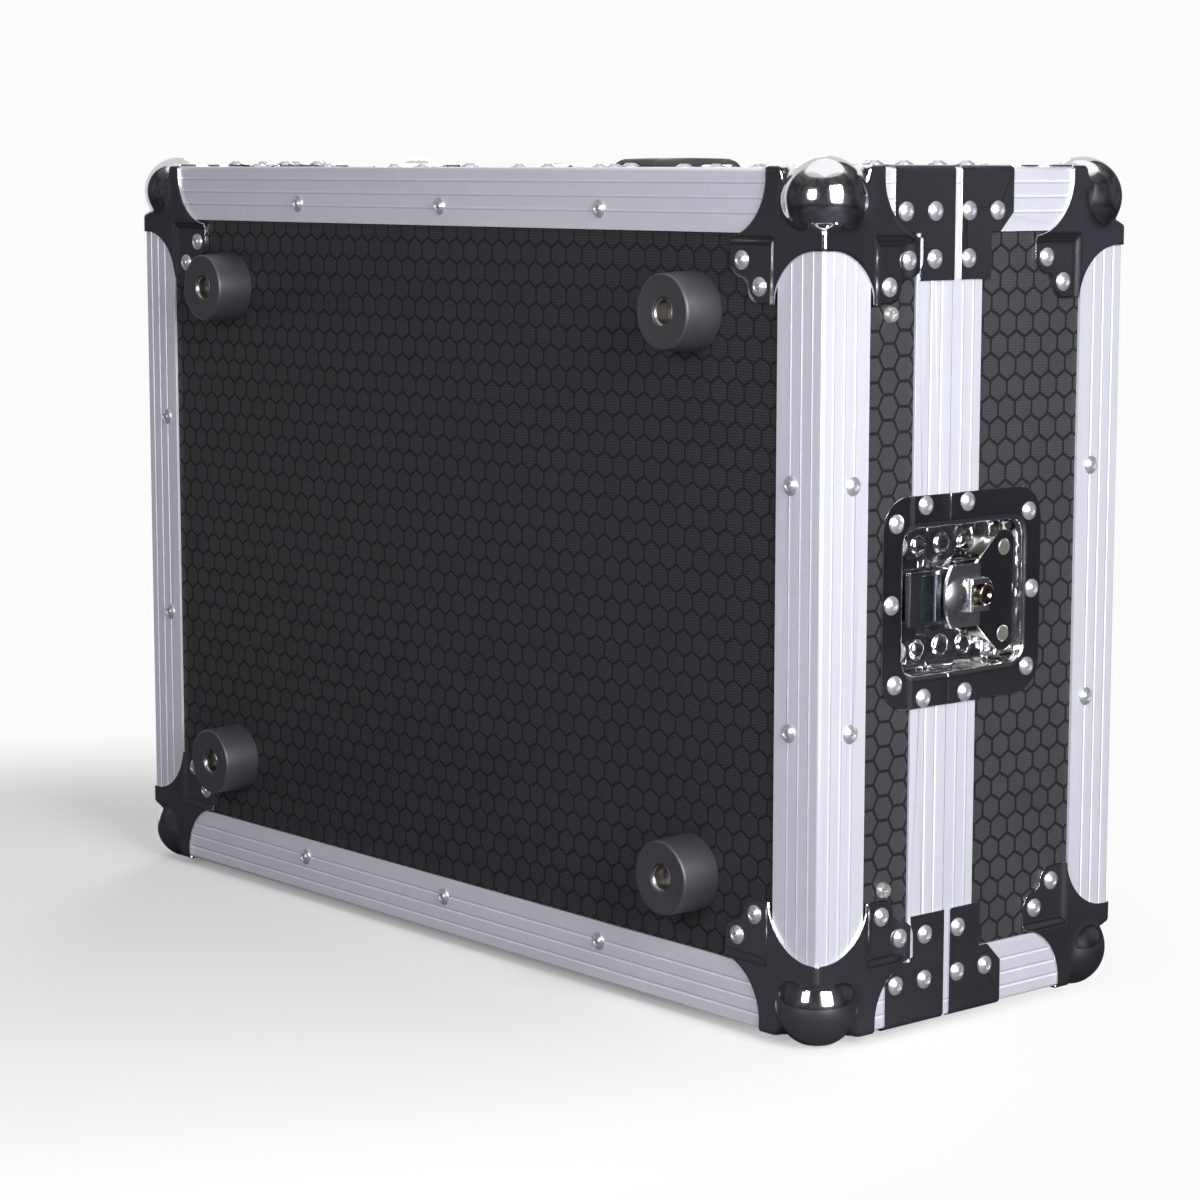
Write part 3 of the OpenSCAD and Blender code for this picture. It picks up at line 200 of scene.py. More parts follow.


# %% [markdown]
# ## Floor and light
# A product photograph has a white sweep and soft boxes. Chrome shows whatever stands round
# it, so photographers add black cards: here a dark ring and mat that only reflections see
# make the plates nearly black. Two soft boxes in front give them highlights, and weaker ones
# stand above and behind. Behind the case the ring is open, and the balls' far edges catch the
# white of the sweep. The paper keeps its real shade round the case's front. Behind the case and
# at the sides, a painted white glow covers the case's shadow.

# %% Floor and world
PALE, FILL, PAPER, GLOSSY_SHARE = 0.965, 0.3, 0.66, 0.75
SHADED, SHADED_R, WHITE_R, LEAST_WHITE = (-0.15, -0.25, 0.0), 0.33, 0.63, 0.2
scene = bpy.context.scene
scene.view_settings.view_transform = "Standard"


def emptied(owner):
    owner.use_nodes = True
    owner.node_tree.nodes.clear()
    return Nodes(owner.node_tree)


def seen_directly(n):
    """One for a camera or transmission ray, less for a glossy one."""
    path = n.add("ShaderNodeLightPath").outputs
    total = 0.0
    for ray, weight in (("Is Camera Ray", 1.0), ("Is Glossy Ray", GLOSSY_SHARE),
                        ("Is Transmission Ray", 1.0)):
        total = n.math("MULTIPLY_ADD", path[ray], weight, total)
        total.node.use_clamp = True
    return total


world = scene.world = bpy.data.worlds.new("studio")
n = emptied(world)
fill = n.add("ShaderNodeBackground", Color=(0.93, 0.96, 1.0, 1), Strength=FILL)
pale = n.add("ShaderNodeBackground", Color=(1, 1, 1, 1), Strength=PALE)
n.end_with(seen_directly(n), fill, pale, "ShaderNodeOutputWorld")

floor_material = bpy.data.materials.new("floor_paper")
n = emptied(floor_material)
point = n.add("ShaderNodeTexCoord").outputs["Object"]
# the share of painted white glow: least near the case's front, whole further out, where it covers
# the case's shadow
painted_white_share = n.smooth(n.vector("DISTANCE", point, SHADED), SHADED_R, WHITE_R, LEAST_WHITE, 1.0)
paper = n.add("ShaderNodeBsdfDiffuse", Color=(PAPER, PAPER, PAPER, 1))
glow = n.add("ShaderNodeEmission", Color=(PALE, PALE, PALE, 1))
n.end_with(n.math("MULTIPLY", seen_directly(n), painted_white_share), paper, glow, "ShaderNodeOutputMaterial")

bm = bmesh.new()
bmesh.ops.create_grid(bm, x_segments=1, y_segments=1, size=12)
floor = new_object("floor", bm, floor_material)
print("world and floor:", world.name, floor_material.name)

# %% Black cards
CARD_TALL, CARD_R, MAT_Z = 2.4, 1.5, 0.002
OPEN_DEG, OPEN_HALF_DEG = 152, 44
card_material, n, card, point = new_material("black_card", (0.06, 0.058, 0.065), 0.9,
                                             specular=0.1)
tones = n.add("ShaderNodeValToRGB", Fac=n.math("DIVIDE", n.axes(point)["Z"], CARD_TALL))
stops = tones.color_ramp.elements
stops[0].color, stops[1].color = (0.027, 0.026, 0.033, 1), (0.5, 0.48, 0.46, 1)
for position, colour in ((0.1, (0.058, 0.056, 0.07, 1)), (0.5, (0.06, 0.058, 0.065, 1)),
                         (0.75, (0.16, 0.15, 0.145, 1))):
    stops.new(position).color = colour
blotch = n.add("ShaderNodeTexNoise", Vector=point, Scale=2.2, Detail=2.0).outputs["Fac"]
spread = n.fill(n.add("ShaderNodeMapRange"), blotch, 0.35, 0.65, 0.55, 1.35).outputs[0]
n.put(card.inputs["Base Color"], n.vector("SCALE", tones.outputs[0], scale=spread))


def turn_from_x(face):
    middle = face.calc_center_median()
    return math.degrees(math.atan2(middle.y, middle.x)) % 360


bm = bmesh.new()
bmesh.ops.create_circle(bm, cap_ends=True, cap_tris=True, segments=48, radius=CARD_R,
                        matrix=Matrix.Translation((0, 0, MAT_Z)))
rim = [e for e in bm.edges if e.is_boundary]
grown = bmesh.ops.extrude_edge_only(bm, edges=rim)["geom"]
bmesh.ops.translate(bm, vec=(0, 0, CARD_TALL), verts=verts_in(grown))
behind = [f for f in bm.faces if abs(turn_from_x(f) - OPEN_DEG) < OPEN_HALF_DEG]
bmesh.ops.delete(bm, geom=behind, context="FACES")
cards = new_object("black_cards", bm, card_material)
cards.visible_camera = cards.visible_diffuse = cards.visible_shadow = False
print("cards:", len(cards.data.polygons), "faces")


# %% Soft boxes
def soft_box(name, turn_deg, distance, height, width, tall, power):
    """An area lamp round the case, facing its middle; 0 degrees is along +X."""
    lamp = bpy.data.lights.new(name, "AREA")
    lamp.shape = "RECTANGLE"
    lamp.size, lamp.size_y, lamp.energy = width, tall, power
    obj = bpy.data.objects.new(name, lamp)
    a = math.radians(turn_deg)
    place = Vector((math.cos(a) * distance, math.sin(a) * distance, height))
    turn = (Vector((0, 0, 0.2)) - place).to_track_quat("-Z", "Y").to_matrix().to_4x4()
    obj.matrix_world = Matrix.Translation(place) @ turn
    obj.visible_camera = False
    scene.collection.objects.link(obj)


soft_box("right_box", -13, 1.35, 0.62, 0.62, 0.85, 26.5)
soft_box("left_box", -69.5, 1.33, 0.62, 0.4, 0.44, 9.5)
soft_box("top_box", 90, 0.15, 2.1, 2.0, 2.0, 6)
soft_box("rear_box", 140, 1.4, 0.7, 0.5, 0.8, 8)

# %% [markdown]
# ## Shader groups
# Several finishes share an effect: handling marks on every metal, grain on every rubber.
# Each effect is a node group with named inputs, built once and given its own values in each
# material. Groups put out masks and heights only, and the shader stays in the material.


# %% Helper for groups
def new_group(name, inputs, outputs):
    """A shader group with a Point and more inputs (name, value); a tuple is a vector."""
    group = bpy.data.node_groups.new(name, "ShaderNodeTree")
    for label, value in [("Point", (0.0, 0.0, 0.0))] + inputs:
        kind = "NodeSocketVector" if isinstance(value, tuple) else "NodeSocketFloat"
        socket = group.interface.new_socket(label, in_out="INPUT", socket_type=kind)
        socket.default_value = value
    for label in outputs:
        group.interface.new_socket(label, in_out="OUTPUT", socket_type="NodeSocketFloat")
    n = Nodes(group)
    return group, n, n.add("NodeGroupInput").outputs, n.add("NodeGroupOutput").inputs


# %% Group: handling marks
marks_group, n, given, made = new_group("handling_marks", [("Size", 30.0)],
                                        ["Smudge", "Scratch"])
cloud = n.noise(given["Point"], given["Size"], 4.0, 0.6)
n.put(made["Smudge"], n.smooth(cloud, 0.42, 0.68))
bend = n.noise(given["Point"], 9.0, 2.0)
stretch = n.vector("MULTIPLY", given["Point"], (1.0, 0.06, 1.0))
lines = n.noise(n.vector("ADD", stretch, n.vector("SCALE", given["Point"], scale=bend)),
                n.math("MULTIPLY", given["Size"], 22.0), 1.0)
n.put(made["Scratch"], n.smooth(lines, 0.69, 0.76))

# %% Group: drawn metal
drawn_group, n, given, made = new_group("drawn_metal", [("Along", (1.0, 0.0, 0.0))],
                                        ["Streak", "Grain"])
along = n.vector("MULTIPLY", given["Point"], given["Along"])
across = n.vector("SUBTRACT", given["Point"], along)
squeezed = n.vector("ADD", across, n.vector("SCALE", along, scale=0.012))
n.put(made["Streak"], n.noise(squeezed, 420.0, 3.0, 0.7))
n.put(made["Grain"], n.noise(n.vector("ADD", across, n.vector("SCALE", along, scale=0.1)),
                             2600.0, 2.0, 0.6))

# %% Group: painted highlight and shade lines in the profile grooves
GROOVES_FROM, FIRST_GROOVE, HALF_PITCH, GROOVES_TO, RIM_GROOVES_TO = 3.0, 6.5, 3.5, 24.0, 17.0
groove_light_group, n, given, made = new_group("painted_groove_light", [("Along", (1.0, 0.0, 0.0))],
                                          ["Painted Highlight Line", "Painted Shade Line"])
# The grooves are in the CAD shape. This group paints a highlight line in each groove and a shade
# line beside it, for the light and shade on the groove walls.
centred = n.vector("ADD", n.vector("SCALE", given["Point"], scale=1000.0),
                   (0.0, -SHIFT.y - HEIGHT / 2, -SHIFT.z - DEPTH / 2))
inset = n.vector("SUBTRACT", (LENGTH / 2, HEIGHT / 2, DEPTH / 2), n.vector("ABSOLUTE", centred))
inset = n.vector("ADD", inset, n.vector("SCALE", given["Along"], scale=1000.0))
depth = n.axes(inset)
seam = n.math("ABSOLUTE", n.math("ADD", n.axes(centred)["Y"], HEIGHT / 2 - SEAM))
seam = n.math("MULTIPLY_ADD", n.axes(given["Along"])["Y"], 1000.0,
              n.math("SUBTRACT", seam, 0.5))
lines = {"Painted Highlight Line": 0.0, "Painted Shade Line": 0.0}
for distance, reach in [(depth[axis], GROOVES_TO) for axis in "XYZ"] + [(seam, RIM_GROOVES_TO)]:
    inside = n.math("MULTIPLY", n.math("GREATER_THAN", distance, GROOVES_FROM),
                    n.math("LESS_THAN", distance, reach))
    off = n.math("WRAP", n.math("SUBTRACT", distance, FIRST_GROOVE), HALF_PITCH, -HALF_PITCH)
    for label, shift, wide in (("Painted Highlight Line", 0.0, 0.5), ("Painted Shade Line", 0.75, 0.25)):
        gap = n.math("ABSOLUTE", n.math("SUBTRACT", off, shift))
        line = n.math("MULTIPLY", inside, n.smooth(gap, wide, wide + 0.25, 1.0, 0.0))
        lines[label] = n.math("MAXIMUM", lines[label], line)
for label, line in lines.items():
    n.put(made[label], line)

# %% Group: hexagon laminate
hexagon_group, n, given, made = new_group(
    "hexagon_laminate", [("Pitch", 11.75), ("Groove", 1.4), ("Dot Pitch", 1.6)],
    ["Cell", "Dot", "Tone"])
half_low, half_high = (-0.5, -math.sqrt(3) / 2, -0.5), (0.5, math.sqrt(3) / 2, 0.5)
next_centre = (0.5, math.sqrt(3) / 2, 0.0)


def from_centres(pitch):
    """The point in pitches, and its offsets from the near centre of each of two lattices."""
    p = n.vector("SCALE", given["Point"], scale=n.math("DIVIDE", 1.0, pitch))
    return p, n.vector("WRAP", p, half_high, half_low), \
        n.vector("WRAP", n.vector("ADD", p, next_centre), half_high, half_low)


p, first, second = from_centres(given["Pitch"])
pick = n.add("ShaderNodeMix")
pick.data_type = "VECTOR"
nearer = n.math("LESS_THAN", n.vector("DOT_PRODUCT", first, first),
                n.vector("DOT_PRODUCT", second, second))
for i, value in ((0, nearer), (4, second), (5, first)):
    n.put(pick.inputs[i], value)
local = pick.outputs[1]
size = n.vector("ABSOLUTE", local)
slanted = n.vector("DOT_PRODUCT", size, next_centre)
edge = n.math("SUBTRACT", 0.5, n.math("MAXIMUM", n.axes(size)["X"], slanted))
edge_mm = n.math("MULTIPLY", edge, given["Pitch"])
half_groove = n.math("MULTIPLY", given["Groove"], 0.5)
n.put(made["Cell"], n.smooth(edge_mm, n.math("SUBTRACT", half_groove, 0.12),
                             n.math("ADD", half_groove, 0.22)))
_, dot_a, dot_b = from_centres(given["Dot Pitch"])
apart = n.math("MINIMUM", n.vector("LENGTH", dot_a), n.vector("LENGTH", dot_b))
n.put(made["Dot"], n.smooth(apart, 0.2, 0.36, 1.0, 0.0))
centre = n.vector("SUBTRACT", p, local)
n.put(made["Tone"], n.add("ShaderNodeTexWhiteNoise", Vector=centre).outputs["Value"])

# %% Group: fine grain for rubber, foam and wood
grain_group, n, given, made = new_group("fine_grain", [("Scale", 900.0)], ["Pore", "Cloud"])
cells = n.add("ShaderNodeTexVoronoi", Vector=given["Point"], Scale=given["Scale"])
n.put(made["Pore"], n.smooth(cells.outputs["Distance"], 0.15, 0.6))
n.put(made["Cloud"], n.noise(given["Point"], 24.0, 3.0))
print("shader groups:", len(bpy.data.node_groups))

# %% [markdown]
# ## Finishes
# Anodised aluminium scatters light in its oxide layer, so it is given as a partly metallic
# shader; chrome and nickel are fully metallic and differ by roughness and tint. Marks and
# streaks change roughness and bump only a little: the case in the photograph is new.


# %% Material helpers
GRAIN_DEPTH, SCRATCH_DEPTH = 0.00002, 0.00001


def use_group(n, group, **inputs):
    node = n.tree.nodes.new("ShaderNodeGroup")
    node.node_tree = group
    for name, value in inputs.items():
        n.put(node.inputs[name.replace("_", " ")], value)
    return node.outputs


def bump(n, shader, height, distance, strength=1.0):
    node = n.add("ShaderNodeBump", Height=height, Distance=distance, Strength=strength)
    before = shader.inputs["Normal"].links
    if before:
        n.put(node.inputs["Normal"], before[0].from_socket)
    n.put(shader.inputs["Normal"], node.outputs[0])


def metal(name, colour, roughness, metallic, along=None, spread=0.06):
    """A metal with handling marks. If it was drawn, it also gets streaks along its length and a
    painted highlight and shade in its profile grooves.
    """
    material, n, shader, point = new_material(name, colour, roughness, metallic)
    marks = use_group(n, marks_group, Point=point)
    level = n.math("MULTIPLY_ADD", marks["Smudge"], spread, roughness)
    tone = n.math("MULTIPLY_ADD", marks["Smudge"], -0.05, 1.0)
    if along:
        lines = use_group(n, drawn_group, Point=point, Along=along)
        off_mean = n.math("SUBTRACT", lines["Streak"], 0.5)
        level = n.math("MULTIPLY_ADD", off_mean, 0.12, level)
        tone = n.math("MULTIPLY_ADD", off_mean, 0.09, tone)
        bump(n, shader, lines["Grain"], GRAIN_DEPTH, 0.35)
        # painted highlight and painted shade along the grooves of the profiles
        groove_light = use_group(n, groove_light_group, Point=point, Along=along)
        tone = n.math("MULTIPLY_ADD", groove_light["Painted Highlight Line"], 0.22, tone)
        tone = n.math("MULTIPLY_ADD", groove_light["Painted Shade Line"], -0.3, tone)
    bump(n, shader, marks["Scratch"], SCRATCH_DEPTH, 0.25)
    n.put(shader.inputs["Roughness"], level)
    n.put(shader.inputs["Base Color"], n.vector("SCALE", colour, scale=tone))
    return material


# %% Metals
SATIN = (0.66, 0.665, 0.745)
aluminium = {axis: metal("satin_aluminium_" + axis, SATIN, 0.42, 0.55, along)
             for axis, along in (("x", (1.0, 0.0, 0.0)), ("y", (0.0, 1.0, 0.0)),
                                 ("z", (0.0, 0.0, 1.0)))}
chrome = metal("bright_chrome", (0.74, 0.74, 0.76), 0.09, 1.0, spread=0.05)
nickel = metal("bright_nickel", (0.86, 0.85, 0.84), 0.14, 1.0, spread=0.05)
latch_steel = metal("latch_steel", (0.7, 0.71, 0.75), 0.17, 1.0, spread=0.08)
rivet_metal = metal("rivet_aluminium", (0.52, 0.52, 0.565), 0.28, 0.75, spread=0.12)
screw_metal = metal("screw_steel", (0.76, 0.75, 0.73), 0.3, 0.85, spread=0.08)
brass = metal("yellow_passivated_steel", (0.27, 0.245, 0.185), 0.22, 1.0, spread=0.1)
satin_steel = metal("satin_wing_steel", (0.74, 0.74, 0.77), 0.27, 1.0, spread=0.1)
standoff_steel = metal("riveted_steel", (0.52, 0.5, 0.46), 0.34, 0.9, spread=0.15)
blued_steel = metal("blued_claw_steel", (0.2, 0.24, 0.29), 0.24, 1.0, spread=0.1)
cup_steel = metal("cup_washer_steel", (0.4, 0.385, 0.36), 0.3, 1.0, spread=0.1)

# A sheet drawn into a deep dish stays a little wavy, and bright chrome shows it. The wave
# starts below the flange: it grows with the depth from the case's end face.
WAVE_RISE, WAVE_START, WAVE_DEPTH = -333.0, 93.3, 0.0026
dish_chrome = metal("dish_chrome", (0.82, 0.82, 0.83), 0.1, 1.0)
n = Nodes(dish_chrome.node_tree)
point = n.add("ShaderNodeTexCoord").outputs["Object"]
out = n.math("ABSOLUTE", n.axes(point)["X"])
inside = n.math("MAXIMUM", n.math("MULTIPLY_ADD", out, WAVE_RISE, WAVE_START), 0.0)
wave = n.add("ShaderNodeTexNoise", Vector=point, Scale=85.0, Detail=1.0).outputs["Fac"]
bump(n, dish_chrome.node_tree.nodes["Principled BSDF"],
     n.math("MULTIPLY", wave, n.math("MINIMUM", inside, 1.0)), WAVE_DEPTH)
print("metals:", ", ".join(m.name for m in bpy.data.materials if "black" not in m.name))


# %% Laminate
def laminate(name, horizontal, vertical, turned=False, level=1.0):
    """Black laminate on a face whose horizontal and vertical run along those row axes."""
    material, n, shader, point = new_material(name, (0.03, 0.03, 0.034), 0.45, specular=0.3)
    axes = n.axes(n.vector("SCALE", point, scale=1000.0))
    pair = (vertical, horizontal) if turned else (horizontal, vertical)
    flat = n.add("ShaderNodeCombineXYZ", X=axes[pair[0]], Y=axes[pair[1]]).outputs[0]
    cells = use_group(n, hexagon_group, Point=flat)
    marks = use_group(n, marks_group, Point=point)
    # level scales the laminate's colour; a level below one is painted shade
    tone = n.math("MULTIPLY_ADD", cells["Tone"], 0.12 * level, 0.94 * level)
    face = n.vector("SCALE", (0.027, 0.026, 0.031), scale=tone)
    speck = n.mix_colour(n.math("MULTIPLY", cells["Dot"], 0.55), face, (0.06, 0.058, 0.066, 1))
    colour = n.mix_colour(cells["Cell"], (0.005, 0.0045, 0.007, 1), speck)
    n.put(shader.inputs["Base Color"], colour)
    matt = n.math("MULTIPLY_ADD", marks["Smudge"], 0.06, 0.8)
    n.put(shader.inputs["Roughness"], n.math("MULTIPLY_ADD", cells["Cell"], -0.38, matt))
    height = n.math("MULTIPLY_ADD", cells["Dot"], 0.3, cells["Cell"])
    bump(n, shader, height, 0.00022, 0.9)
    return material


# The wide faces get the same laminate at 0.47 of its colour: painted shade, not a different
# laminate.
laminate_wide_painted_dark = laminate("laminate_wide_faces_painted_shade", "X", "Z", level=0.47)
laminate_lid_end = laminate("laminate_lid_ends", "Y", "Z")
laminate_base_end = laminate("laminate_base_ends", "Y", "Z", turned=True)
laminate_side = laminate("laminate_long_sides", "X", "Y")


# %% Rubber, foam and wood
def grained(name, colour, roughness, scale, depth, strength=0.6, specular=0.35):
    material, n, shader, point = new_material(name, colour, roughness, specular=specular)
    grain = use_group(n, grain_group, Point=point, Scale=scale)
    tone = n.math("MULTIPLY_ADD", grain["Cloud"], 0.5, 0.75)
    n.put(shader.inputs["Base Color"], n.vector("SCALE", colour, scale=tone))
    n.put(shader.inputs["Roughness"], n.math("MULTIPLY_ADD", grain["Cloud"], 0.16, roughness))
    bump(n, shader, grain["Pore"], depth, strength)
    return material


foot_rubber = grained("foot_rubber", (0.024, 0.024, 0.03), 0.37, 1500.0, 0.00004, 0.4, 1.0)
grip_rubber = grained("grip_rubber", (0.048, 0.047, 0.045), 0.5, 1100.0, 0.0001)
foam = grained("liner_foam", (0.03, 0.03, 0.034), 0.86, 700.0, 0.0003, 0.8, 0.15)
rail_wood, n, shader, point = new_material("rail_plywood", (0.45, 0.3, 0.17), 0.6)
rings = n.add("ShaderNodeTexWave", Vector=n.vector("MULTIPLY", point, (1.0, 1.0, 0.15)),
              Scale=260.0, Distortion=5.0, Detail=3.0).outputs["Fac"]
light_wood, dark_wood = (0.52, 0.36, 0.21, 1), (0.3, 0.18, 0.09, 1)
n.put(shader.inputs["Base Color"], n.mix_colour(rings, dark_wood, light_wood))
n.put(shader.inputs["Roughness"], n.math("MULTIPLY_ADD", rings, 0.12, 0.55))
bump(n, shader, rings, 0.00008, 0.5)
print("finishes:", len(bpy.data.materials))

# %% [markdown]
# ## Finishes on the CAD pieces
# The panels, profiles, braces and bars keep their CAD shape. Sheared steel has a thin bright
# edge, which a small live bevel gives. The CAD mesh is loose triangles, so a Weld modifier
# joins them first, and the mesh itself stays as it was.


def edge_bevel(obj, width_mm, segments=3, angle_deg=35, harden=True):
    """A live bevel on the edges that are sharper than the angle."""
    lip = obj.modifiers.new("edge", "BEVEL")
    lip.width, lip.segments, lip.limit_method = width_mm * MM, segments, "ANGLE"
    lip.angle_limit = math.radians(angle_deg)
    lip.harden_normals = harden


def finish_node(name, material, bevel_mm=0.0, segments=2):
    obj = nodes[name]
    obj.data.materials.clear()
    obj.data.materials.append(material)
    if bevel_mm:
        weld = obj.modifiers.new("weld", "WELD")
        weld.merge_threshold = 0.000005
        edge_bevel(obj, bevel_mm, segments, 38)


for name in ("base_floor_panel", "lid_top_panel"):
    finish_node(name, laminate_wide_painted_dark)
for name in ("base_front_panel", "base_rear_panel", "lid_front_panel", "lid_rear_panel"):
    finish_node(name, laminate_side)
for side in ("left", "right"):
    finish_node("base_%s_panel" % side, laminate_base_end)
    finish_node("lid_%s_panel" % side, laminate_lid_end)
for half in ("base", "lid"):
    finish_node(half + "_long_profiles", aluminium["x"], 0.15)
    finish_node(half + "_short_profiles", aluminium["z"], 0.15)
    finish_node(half + "_corner_posts", aluminium["y"], 0.15)
    finish_node(half + "_corner_braces", chrome, 0.3, 3)
finish_node("support_rails", rail_wood, 0.6)
finish_node("latch_keepers", chrome, 0.25)
for name in ("handle_pivot_pins", "latch_wing_pin_right", "latch_wing_pin_left"):
    finish_node(name, nickel, 0.15)
finish_node("foot_screws", screw_metal, 0.45, 3)
finish_node("bracket_standoffs", standoff_steel, 0.6, 4)
finish_node("rail_screws", screw_metal, 0.8, 4)
for side in ("right", "left"):
    finish_node("latch_claw_" + side, latch_steel, 0.25)
    finish_node("latch_wing_" + side, satin_steel, 0.4, 3)


# %% [markdown]
# ## Turning a bmesh into a piece
# Each new piece is drawn in millimetres on one face or corner, then carried to its place by
# a matrix. A mirrored place turns a surface inside out, so its faces are reversed there.

# %% Turning a bmesh into a piece
def carried(bm, source, matrix):
    """Adds a copy of the source bmesh to bm, moved by the matrix."""
    mesh = bpy.data.meshes.new("copy")
    source.to_mesh(mesh)
    mesh.transform(matrix)
    if matrix.determinant() < 0:
        mesh.flip_normals()
    bm.from_mesh(mesh)
    bpy.data.meshes.remove(mesh)


def copies(source, matrices):
    """A bmesh with a copy of the source at each matrix; the source is freed."""
    bm = bmesh.new()
    for matrix in matrices:
        carried(bm, source, matrix)
    source.free()
    return bm


def cut(bm, place, normal, **clear):
    """Cuts the whole bmesh along a plane, and clears a side if it's told to."""
    bmesh.ops.bisect_plane(bm, geom=bm.verts[:] + bm.edges[:] + bm.faces[:], plane_co=place,
                           plane_no=normal, **clear)


def unit_cube(bm, matrix=Matrix.Identity(4)):
    """Adds a cube with sides of one and gives its edges."""
    made = bmesh.ops.create_cube(bm, size=1.0, matrix=matrix)["verts"]
    return list({e for v in made for e in v.link_edges})


def thickened(obj, thick_mm):
    wall = obj.modifiers.new("sheet", "SOLIDIFY")
    wall.thickness, wall.offset = thick_mm * MM, -1


def pressed_sheet(obj, thick_mm=0.9):
    """Gives a sheet its thickness, and flat shading to its large faces."""
    thickened(obj, thick_mm)
    shade = obj.modifiers.new("shading", "WEIGHTED_NORMAL")
    shade.keep_sharp = True


def piece(name, bm, material, body, replaced=(), sharp_deg=32):
    obj = new_object(name, bm, material)
    obj.data.polygons.foreach_set("use_smooth", [True] * len(obj.data.polygons))
    obj.data.set_sharp_from_angle(angle=math.radians(sharp_deg))
    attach(obj, body)
    if replaced:
        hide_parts(*replaced)
    print("%s: %d faces" % (name, len(obj.data.polygons)))
    return obj


def spun(profile, segments=32):
    """A closed solid of revolution about local Z from (radius, height) points."""
    bm = bmesh.new()
    verts = [bm.verts.new((r, 0, z)) for r, z in profile]
    edges = [bm.edges.new(pair) for pair in zip(verts, verts[1:])]
    bmesh.ops.spin(bm, geom=verts + edges, cent=(0, 0, 0), axis=(0, 0, 1),
                   angle=math.tau, steps=segments, use_merge=True)
    bmesh.ops.remove_doubles(bm, verts=bm.verts, dist=0.0005)
    bmesh.ops.recalc_face_normals(bm, faces=bm.faces)
    return bm


def arc(cx, cz, radius, start_deg, end_deg, steps):
    """Points of an arc in a profile, angles from the +r direction towards +z."""
    turns = [math.radians(start_deg + (end_deg - start_deg) * i / steps) for i in range(steps + 1)]
    return [(cx + radius * math.cos(a), cz + radius * math.sin(a)) for a in turns]


def clamped(value):
    return min(max(value, 0), 1)


def eased(value):
    """A smooth step from 0 to 1."""
    t = clamped(value)
    return t * t * (3 - 2 * t)


# %% [markdown]
# ## Ball corners
# A ball corner is pressed from one sheet: three plates meet in a rounded corner, and a ball
# swells out of it. Seen from the ball's centre every point of that sheet lies in its own
# direction, so three flat grids can be pushed out along those lines: first onto a cube with
# rounded edges, then out to the ball wherever the ball is larger. A soft maximum leaves the
# fillet between the two. The grids' faces outside the plate's outline are deleted, and the
# vertices along the cut are slid onto the outline. Solidify gives the sheet its thickness.

# %% Outline of a corner plate
BALL_R, BALL_IN, FOLD_R = 19.5, 14.2, 2.2
LOBE_FAR, LOBE_NEAR, LOBE_R = 54.5, 42.5, 8.0
ARCH_FAR, ARCH_NEAR, ARCH_R = 66.0, 4.0, 28.5
SADDLE, PLATE_FAR, STEP_IN, STEP_WIDE, RISE = 52.1, 62.5, 31.0, 4.6, 10.0


def box_distance(a, b, a0, a1, b0, b1):
    return max(a0 - a, a - a1, b0 - b, b - b1)


def plate_distance(a, b):
    """Distance outside the plate's outline, from the two folded edges; inside is negative."""
    inside = min(box_distance(a, b, -SHEET, PLATE_FAR, -SHEET, LOBE_NEAR),
                 box_distance(a, b, -SHEET, LOBE_NEAR, -SHEET, PLATE_FAR),
                 math.hypot(a - LOBE_FAR, b - LOBE_NEAR) - LOBE_R,
                 math.hypot(a - LOBE_NEAR, b - LOBE_FAR) - LOBE_R,
                 max(LOBE_NEAR - a, LOBE_NEAR - b, (a + b - 2 * SADDLE) / math.sqrt(2)))
    cut = ARCH_FAR - ARCH_R
    return max(inside, ARCH_R - math.hypot(a - ARCH_FAR, b - ARCH_NEAR),
               ARCH_R - math.hypot(a - ARCH_NEAR, b - ARCH_FAR),
               min(a - cut, ARCH_NEAR - b), min(b - cut, ARCH_NEAR - a))


def slide_onto_outline(a, b):
    for _ in range(6):
        d = plate_distance(a, b)
        ga = plate_distance(a + 0.02, b) - plate_distance(a - 0.02, b)
        gb = plate_distance(a, b + 0.02) - plate_distance(a, b - 0.02)
        size = max(math.hypot(ga, gb), 1e-6)
        a, b = a - d * ga / size, b - d * gb / size
    return a, b


# %% One corner's sheet
def pushed_out(s, t):
    """Takes a point of the flat face x = -reach to the pressed sheet, from the ball's centre."""
    reach = BALL_IN + SHEET
    q = Vector((-reach, s, t))
    fold = reach + (FOLD_R - reach) * eased((max(q) - 9.5) / 5.0)
    low = -reach + fold
    core = Vector([max(c, low) for c in q])
    p = core + (q - core).normalized() * fold
    r = p.length
    swell = (r + BALL_R + math.sqrt((r - BALL_R) ** 2 + 3.0)) / 2 - 0.18
    swell = r + (swell - r) * clamped((32 - r) / 8)
    if r < 34:
        p = p * (swell / r)
    p.x -= SKIN * eased((min(s, t) - (STEP_IN - BALL_IN)) / STEP_WIDE)
    return p


def over_the_rim(bm, rim_y):
    """On the two upright faces the plate rises again where it lies over the rim profile."""
    for v in bm.verts:
        share = eased((v.co.y - rim_y + RISE) / RISE)
        if share and min(v.co.x, v.co.z) < 2:
            low = 0 if v.co.x < v.co.z else 2
            v.co[low] += share * (-SHEET - v.co[low])


def from_outline(co):
    return plate_distance(co.x + BALL_IN, co.y + BALL_IN)


